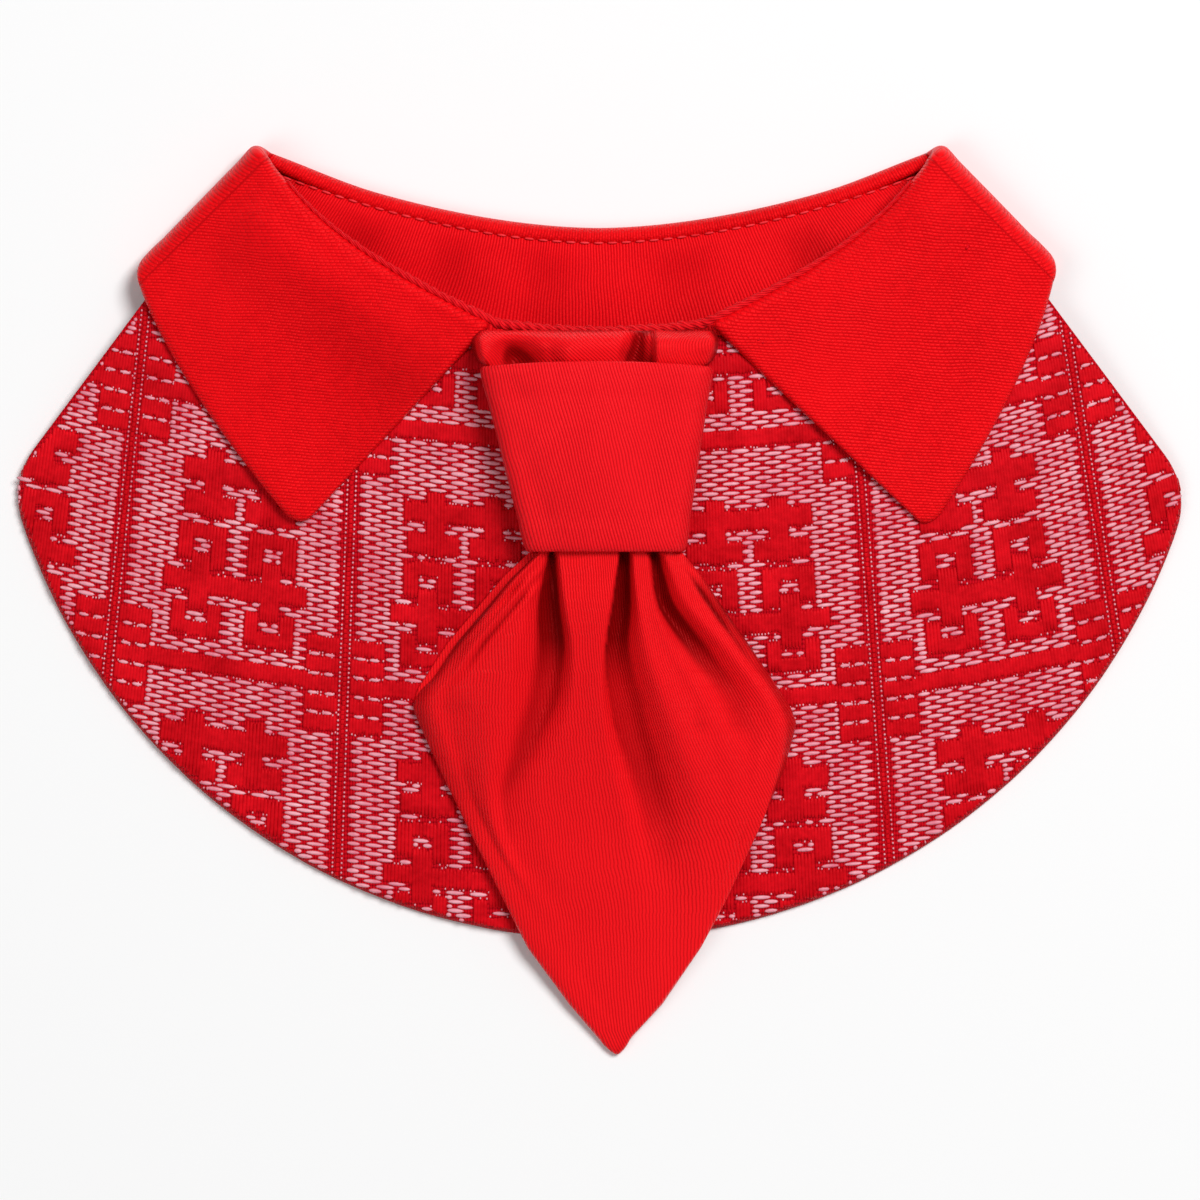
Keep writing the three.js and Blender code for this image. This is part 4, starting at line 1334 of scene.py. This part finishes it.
def tieEdges(down):
    share = (down - knotBottom) / tie["tailLength"]
    if share > 0:
        left = tailEdge("left", share) + ply["inset"] * (1 - smooth(share, *ply["insetEnd"]))
        right = tailEdge("right", share)
        ending = min(1.0, (1 - share) * tie["tailLength"] / tie["tipRound"])
        narrow = (right - left) / 2 * (1 - math.sqrt(max(0.0, 1 - (1 - ending) ** 2))) * tie["tipShare"]
        return left + narrow, right - narrow
    middle = knotMiddle(down)
    held = knotHalfWidth(down) - knot["wall"] - knot["clearance"] - knot["hold"]
    puff = 1 - smooth(down, *(knot["top"] + ease for ease in tie["puffEase"]))
    left, right = (smoothCurve(headDowns, headEdge[side], down) for side in ("left", "right"))
    return mix(middle - held, left, puff), mix(middle + held, right, puff)


def edgePleats(fromLeft, fromRight, share):
    near = smooth(share, *pleats["start"]) * (1 - smooth(share, *pleats["stop"]))
    turn = 2 * math.pi / pleats["pitch"]
    left = pleats["left"] * np.sin(fromLeft * turn) * (1 - smooth(fromLeft, *pleats["leftFade"]))
    right = pleats["right"] * np.sin(fromRight * turn) * (1 - smooth(fromRight, *pleats["rightFade"]))
    return near * (left + right)


def tieGround(x, down):
    # the level that the tie lies on: the bib, then straight over its hem to the table
    table = tie["wall"] / 2
    past = smooth(down, offBib, offBib + tie["touchdown"])
    lies = mix(bibHeight(x, -down) + lying, table, past)
    share = (down - tie["spanStart"]) / (knotBottom + tie["tailLength"] - tie["spanStart"])
    straight = np.maximum(lies, mix(spanHigh, table, share))
    return mix(lies, straight, smooth(down, *tie["spanEase"]))


def tieRow(down, acrosses):
    left, right = tieEdges(down)
    x = mix(left, right, (acrosses + 1) / 2)
    inKnot = min(down, knotBottom)
    held = knotLevel(inKnot) - (bibHeight(0.0, -inKnot) + lying) - knot["heldDown"]
    height = np.full_like(x, held)
    if down < knot["top"] + tie["intoKnot"]:
        height = foldRow(headDowns, headFolds, headRim, left, right, max(down, headDowns[0]), x)
    elif down > knotBottom - tie["intoKnot"]:
        height = foldRow(tailDowns, tailFolds, tailRim, left, right, max(down, tailDowns[0]), x)
        height += edgePleats(x - left, right - x, (down - knotBottom) / tie["tailLength"])
    broad, fine = (np.sin(x * across + down * along) for across, along in tie["creepTurns"])
    level = tieGround(x, down) + height + tie["creep"] * broad * fine
    level = np.maximum(level, tie["wall"] / 2 + 0.02)
    return np.stack([x, np.full_like(x, -down), level], axis=-1)


def blurred(values, reach):
    # mean over a square of neighbours, repeated for a soft falloff
    soft = values.copy()
    size = 2 * reach + 1
    for axis in (0, 1) * 3:
        padded = np.pad(soft, [(reach, reach) if a == axis else (0, 0) for a in (0, 1)], mode="edge")
        total = np.insert(np.cumsum(padded, axis=axis), 0, 0.0, axis=axis)
        ahead = np.take(total, range(size, size + soft.shape[axis]), axis=axis)
        soft = (ahead - np.take(total, range(soft.shape[axis]), axis=axis)) / size
    return soft


def paintedShade(points, reach, depth):
    # painted shade: 0 on open cloth, 1 where it lies the given depth below the cloth around it
    start = foldShades["start"]
    below = blurred(points[..., 2], reach) - points[..., 2]
    return np.clip((below / depth - start) / (1 - start), 0.0, 1.0)


def tieGrain(points):
    # the weave's place on the cloth, which follows the folds part of the way
    lengths = rowLengths(points)
    x, y = points[..., 0], points[..., 1]
    middle = np.argmin(np.abs(x - grain["middle"]), axis=1)
    flat = lengths - lengths[np.arange(len(points)), middle][:, None]
    onHead = -y < grain["headEnd"]
    lean = grain["turn"] * smooth(x, *grain["turnAcross"]) * (1 - smooth(-y, *grain["turnEnd"]))
    lean = np.where(onHead, np.where(x < grain["headEdge"], grain["headTurn"], 0.0), lean)
    pivot = np.where(onHead, grain["headPivot"], grain["pivot"])
    across = mix(x, flat, grain["eased"]) * np.cos(lean) + (y + pivot) * np.sin(lean)
    return np.stack([across, y], axis=-1)


def tieShade(points):
    # broad and narrow folds get painted shade, most of all just below the knot
    down = -points[..., 1]
    inHead = 1 - smooth(down, *foldShades["headEnd"])
    near = 1 - smooth(down, *foldShades["nearEnd"])
    strength = mix(foldShades["far"], foldShades["near"], near) * (1 - foldShades["head"] * inHead)
    narrow = paintedShade(points, *foldShades["narrow"]) * (1 - inHead)
    return np.minimum(1.0, strength * np.maximum(paintedShade(points, *foldShades["broad"]), narrow))


def makeTie():
    start = binding["radius"] * 0.75
    total = knotBottom + tie["tailLength"] - start
    acrosses = lengthSteps(tie["acrossCloth"], tie["acrossStep"]) * 2 - 1
    downs = start + lengthSteps(total, tie["downStep"]) * total
    return np.array([tieRow(down, acrosses) for down in downs])


def makeUnderPly():
    # the turned-back layer that shows along the tail's upper left edge
    shares = lengthSteps(1.0, ply["lengthStep"], edge=ply["edge"]) * ply["length"]
    inward = lengthSteps(ply["width"], ply["widthStep"]) * ply["width"]
    rows = []
    for share in shares:
        down = knotBottom + share * tie["tailLength"]
        rim = smoothCurve(tailDowns, tailRim["left"], max(down, tailDowns[0]))
        x = tailEdge("left", share) + inward
        level = bibHeight(x, -down) + lying + rim * ply["lift"] - ply["under"]
        rows.append(np.stack([x, np.full_like(x, -down), level], axis=-1))
    return np.array(rows)


tieLook = {"deep": (184, 2, 8), "bright": (254, 24, 32), "fold": (110, 0, 1), "foldShade": 0.9,
           "contrast": 0.65, "cloud": 0.14, "breaks": 0.1, "angle": 84.0, "pitch": 0.55, "float": 1.6,
           "bump": 0.58, "roughness": 0.36}
tieCloth = satinTwill("tieTwill", tieLook)
tieMiddle = makeTie()
tiePiece = clothShell("tie_cloth", tieMiddle, tie["wall"], tieGrain(tieMiddle), tieCloth, tie["edgeRound"],
                      seat=0.3, upright=True, swell=tie["swell"], shade=tieShade(tieMiddle))
plyMiddle = makeUnderPly()
plyPiece = clothShell("tie_under_ply", plyMiddle, ply["wall"], plyMiddle[..., :2], tieCloth,
                      ply["edgeRound"])
print("scene: the tie is folded")

# soft dents in the face of the knot; the last is a swelling
knotDents = [
    {"across": -11.5, "down": 30.0, "lean": 0.24, "wide": 2.4, "long": 10.0, "depth": 0.5},
    {"across": 9.5, "down": 24.0, "lean": -0.16, "wide": 2.8, "long": 13.0, "depth": 0.55},
    {"across": -14.0, "down": 12.0, "lean": 0.5, "wide": 2.2, "long": 5.0, "depth": 0.35},
    {"across": 0.0, "down": 20.0, "lean": 0.1, "wide": 6.5, "long": 12.0, "depth": -0.35},
]


def dentsAt(across, down):
    deep = 0.0
    for dent in knotDents:
        line = dent["across"] + dent["lean"] * (down - dent["down"])
        deep += dent["depth"] * spot(across, down, (line, dent["wide"], dent["down"], dent["long"]))
    return deep


def makeKnot():
    # rings that start under the knot, each a flat oval with nearly square sides and painted shade on them
    half = (knot["thickness"] - knot["wall"]) / 2
    angles = -math.pi * (2 * np.linspace(0, 1, knot["sides"] + 1)[1:] + 0.5)
    x, z = (np.copysign(np.abs(wave) ** knot["boxiness"], wave)
            for wave in (np.cos(angles), np.sin(angles)))
    side = np.maximum(0.0, np.abs(x) - knot["sideStart"]) / (1 - knot["sideStart"])
    rings, flat = [], []
    for share in lengthSteps(knot["length"], knot["downStep"]):
        down = knot["top"] + knot["length"] * share
        wide = knotHalfWidth(down) - knot["wall"] / 2
        arch = knot["arch"] * (1 - share) * (1 - x * x)
        dents = np.where(z > 0, dentsAt(wide * x, down), 0.0)
        level = knotLevel(down) + (half - dents) * z
        ring = np.stack([knotMiddle(down) + wide * x, -down + arch, level], axis=1)
        around = lengthsAlong(ring)
        rings.append(ring)
        across = around - around[knot["sides"] // 2 - 1]
        flat.append(np.stack([across, np.full_like(around, -down)], axis=1))
    # painted shade where the sides of the knot turn away from the light
    dark = np.minimum(1.0, knot["sideDark"] * side * side)
    return np.array(rings), np.array(flat), np.tile(dark, (len(rings), 1))


knotLook = {"deep": (176, 2, 9), "bright": (252, 26, 36), "contrast": 0.75, "cloud": 0.34, "breaks": 0.14,
            "angle": 78.0, "pitch": 0.55, "float": 1.6, "bump": 0.58, "roughness": 0.36}
knotRings, knotFlat, knotShade = makeKnot()
knotPiece = clothShell("knot_cloth", knotRings, knot["wall"], knotFlat, satinTwill("knotTwill", knotLook),
                       knot["edgeRound"], tube=True, swell=knot["swell"], shade=knotShade)
print("scene: the tie is knotted")


# Stitches along the upper edge of the band
stitch = {"pitch": 2.45, "length": 1.8, "width": 0.46, "height": 0.4, "depth": 0.72, "lift": 0.5,
          "pathSteps": 160}
stitchLook = {"deep": (222, 24, 34), "bright": (255, 66, 74), "tint": (255, 120, 120), "roughness": 0.45,
              "sheen": 0.1, "specular": 0.4}


def stitchTree():
    # stitches along a path, one at each pitch
    tree, given, sockets = geometryTree("rowOfStitches", {"Pitch": "Float", "Size": "Vector"})
    curve = addNode(tree, "GeometryNodeMeshToCurve", {"Mesh": given["Geometry"]})
    places = addNode(tree, "GeometryNodeCurveToPoints", {
        "Curve": curve.outputs["Curve"], "Length": given["Pitch"]}, mode="LENGTH").outputs
    turn = addNode(tree, "FunctionNodeAxesToRotation", {
        "Primary Axis": places["Tangent"], "Secondary Axis": (0, 0, 1)},
        primary_axis="X", secondary_axis="Z")
    standThreads(tree, given, places["Points"], turn, given["Size"])
    return tree, sockets


def makeStitches():
    tree, sockets = stitchTree()
    shares = np.linspace(-1, 1, stitch["pathSteps"])
    path = np.array([collarPoint(backStation(share), stitch["depth"], 0) for share in shares])
    path[:, 2] += stitch["lift"]
    mesh = bpy.data.meshes.new("stitchPath")
    mesh.from_pydata(toFrame(path).tolist(), [(i, i + 1) for i in range(len(path) - 1)], [])
    return realPiece("band_topstitch", mesh, tree, sockets, {
        "Thread": spindleThread, "Pitch": stitch["pitch"] * millimetre,
        "Size": [stitch[name] * millimetre for name in ("length", "width", "height")],
        "Material": yarnMaterial("stitchYarn", stitchLook)})


stitchPiece = makeStitches()
print("scene: the band is topstitched")


# What each piece replaces, and the part whose material it stands for
pieces = [
    (collarPiece, ["collar"], "collar"),
    (bandPiece, ["neck_band"], "neck_band"),
    (bindingPiece, ["neck_binding"], "neck_binding"),
    (bibPiece, ["bib_panel"], "bib_panel"),
    (tiePiece, ["tie_blade"], "tie_blade"),
    (knotPiece, ["tie_knot"], "tie_knot"),
    (plyPiece, [], "tie_blade"),
    (pinkPiece, [], "bib_panel"),
    (redPiece, [], "bib_panel"),
    (dotPiece, [], "bib_panel"),
    (stitchPiece, [], "neck_band"),
]
for piece, nodes, slot in pieces:
    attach(piece, "root")
    if nodes:
        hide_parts(*nodes)


# Table, light and camera, in metres and watts
studio = {"floor": 1.2, "floorShade": 0.96, "floorRoughness": 0.9, "floorGloss": 0.1, "skyLight": 0.2,
          "cameraHeight": 1.6, "frameWidth": 0.216, "lookX": 0.0002, "lookY": 0.00036, "sensor": 36.0}
lights = [
    {"name": "keyLight", "place": (1.1, 1.1, 2.4), "size": 1.25, "power": 69.0},
    {"name": "fillLight", "place": (-1.3, -0.6, 1.9), "size": 1.4, "power": 10.0},
]


def makeFloor():
    half = studio["floor"]
    mesh = bpy.data.meshes.new("tableTop")
    corners = [(-half, -half, 0), (half, -half, 0), (half, half, 0), (-half, half, 0)]
    mesh.from_pydata(corners, [], [(0, 1, 2, 3)])
    material = bpy.data.materials.new("paleTable")
    material.use_nodes = True
    shader = material.node_tree.nodes["Principled BSDF"]
    shader.inputs["Base Color"].default_value = (*[studio["floorShade"]] * 3, 1)
    shader.inputs["Roughness"].default_value = studio["floorRoughness"]
    shader.inputs["Specular IOR Level"].default_value = studio["floorGloss"]
    mesh.materials.append(material)
    floor = addPiece("table_top", mesh)


def addLight(name, place, size, power):
    light = bpy.data.lights.new(name, "AREA")
    light.shape = "DISK"
    light.size = size
    light.energy = power
    lamp = addPiece(name, light)
    lamp.location = place
    lamp.rotation_euler = (-Vector(place)).to_track_quat("-Z", "Y").to_euler()


makeFloor()
for light in lights:
    addLight(**light)
world = bpy.data.worlds.new("studio")
world.use_nodes = True
world.node_tree.nodes["Background"].inputs["Color"].default_value = (1, 1, 1, 1)
world.node_tree.nodes["Background"].inputs["Strength"].default_value = studio["skyLight"]
bpy.context.scene.world = world

lens = bpy.data.cameras.new("overhead")
lens.sensor_width = studio["sensor"]
lens.lens = studio["sensor"] * studio["cameraHeight"] / studio["frameWidth"]
camera = addPiece("overhead", lens)
camera.location = (studio["lookX"], studio["lookY"], studio["cameraHeight"])
bpy.context.scene.camera = camera
bpy.context.scene.view_settings.view_transform = "Standard"
print("scene: the camera looks straight down")
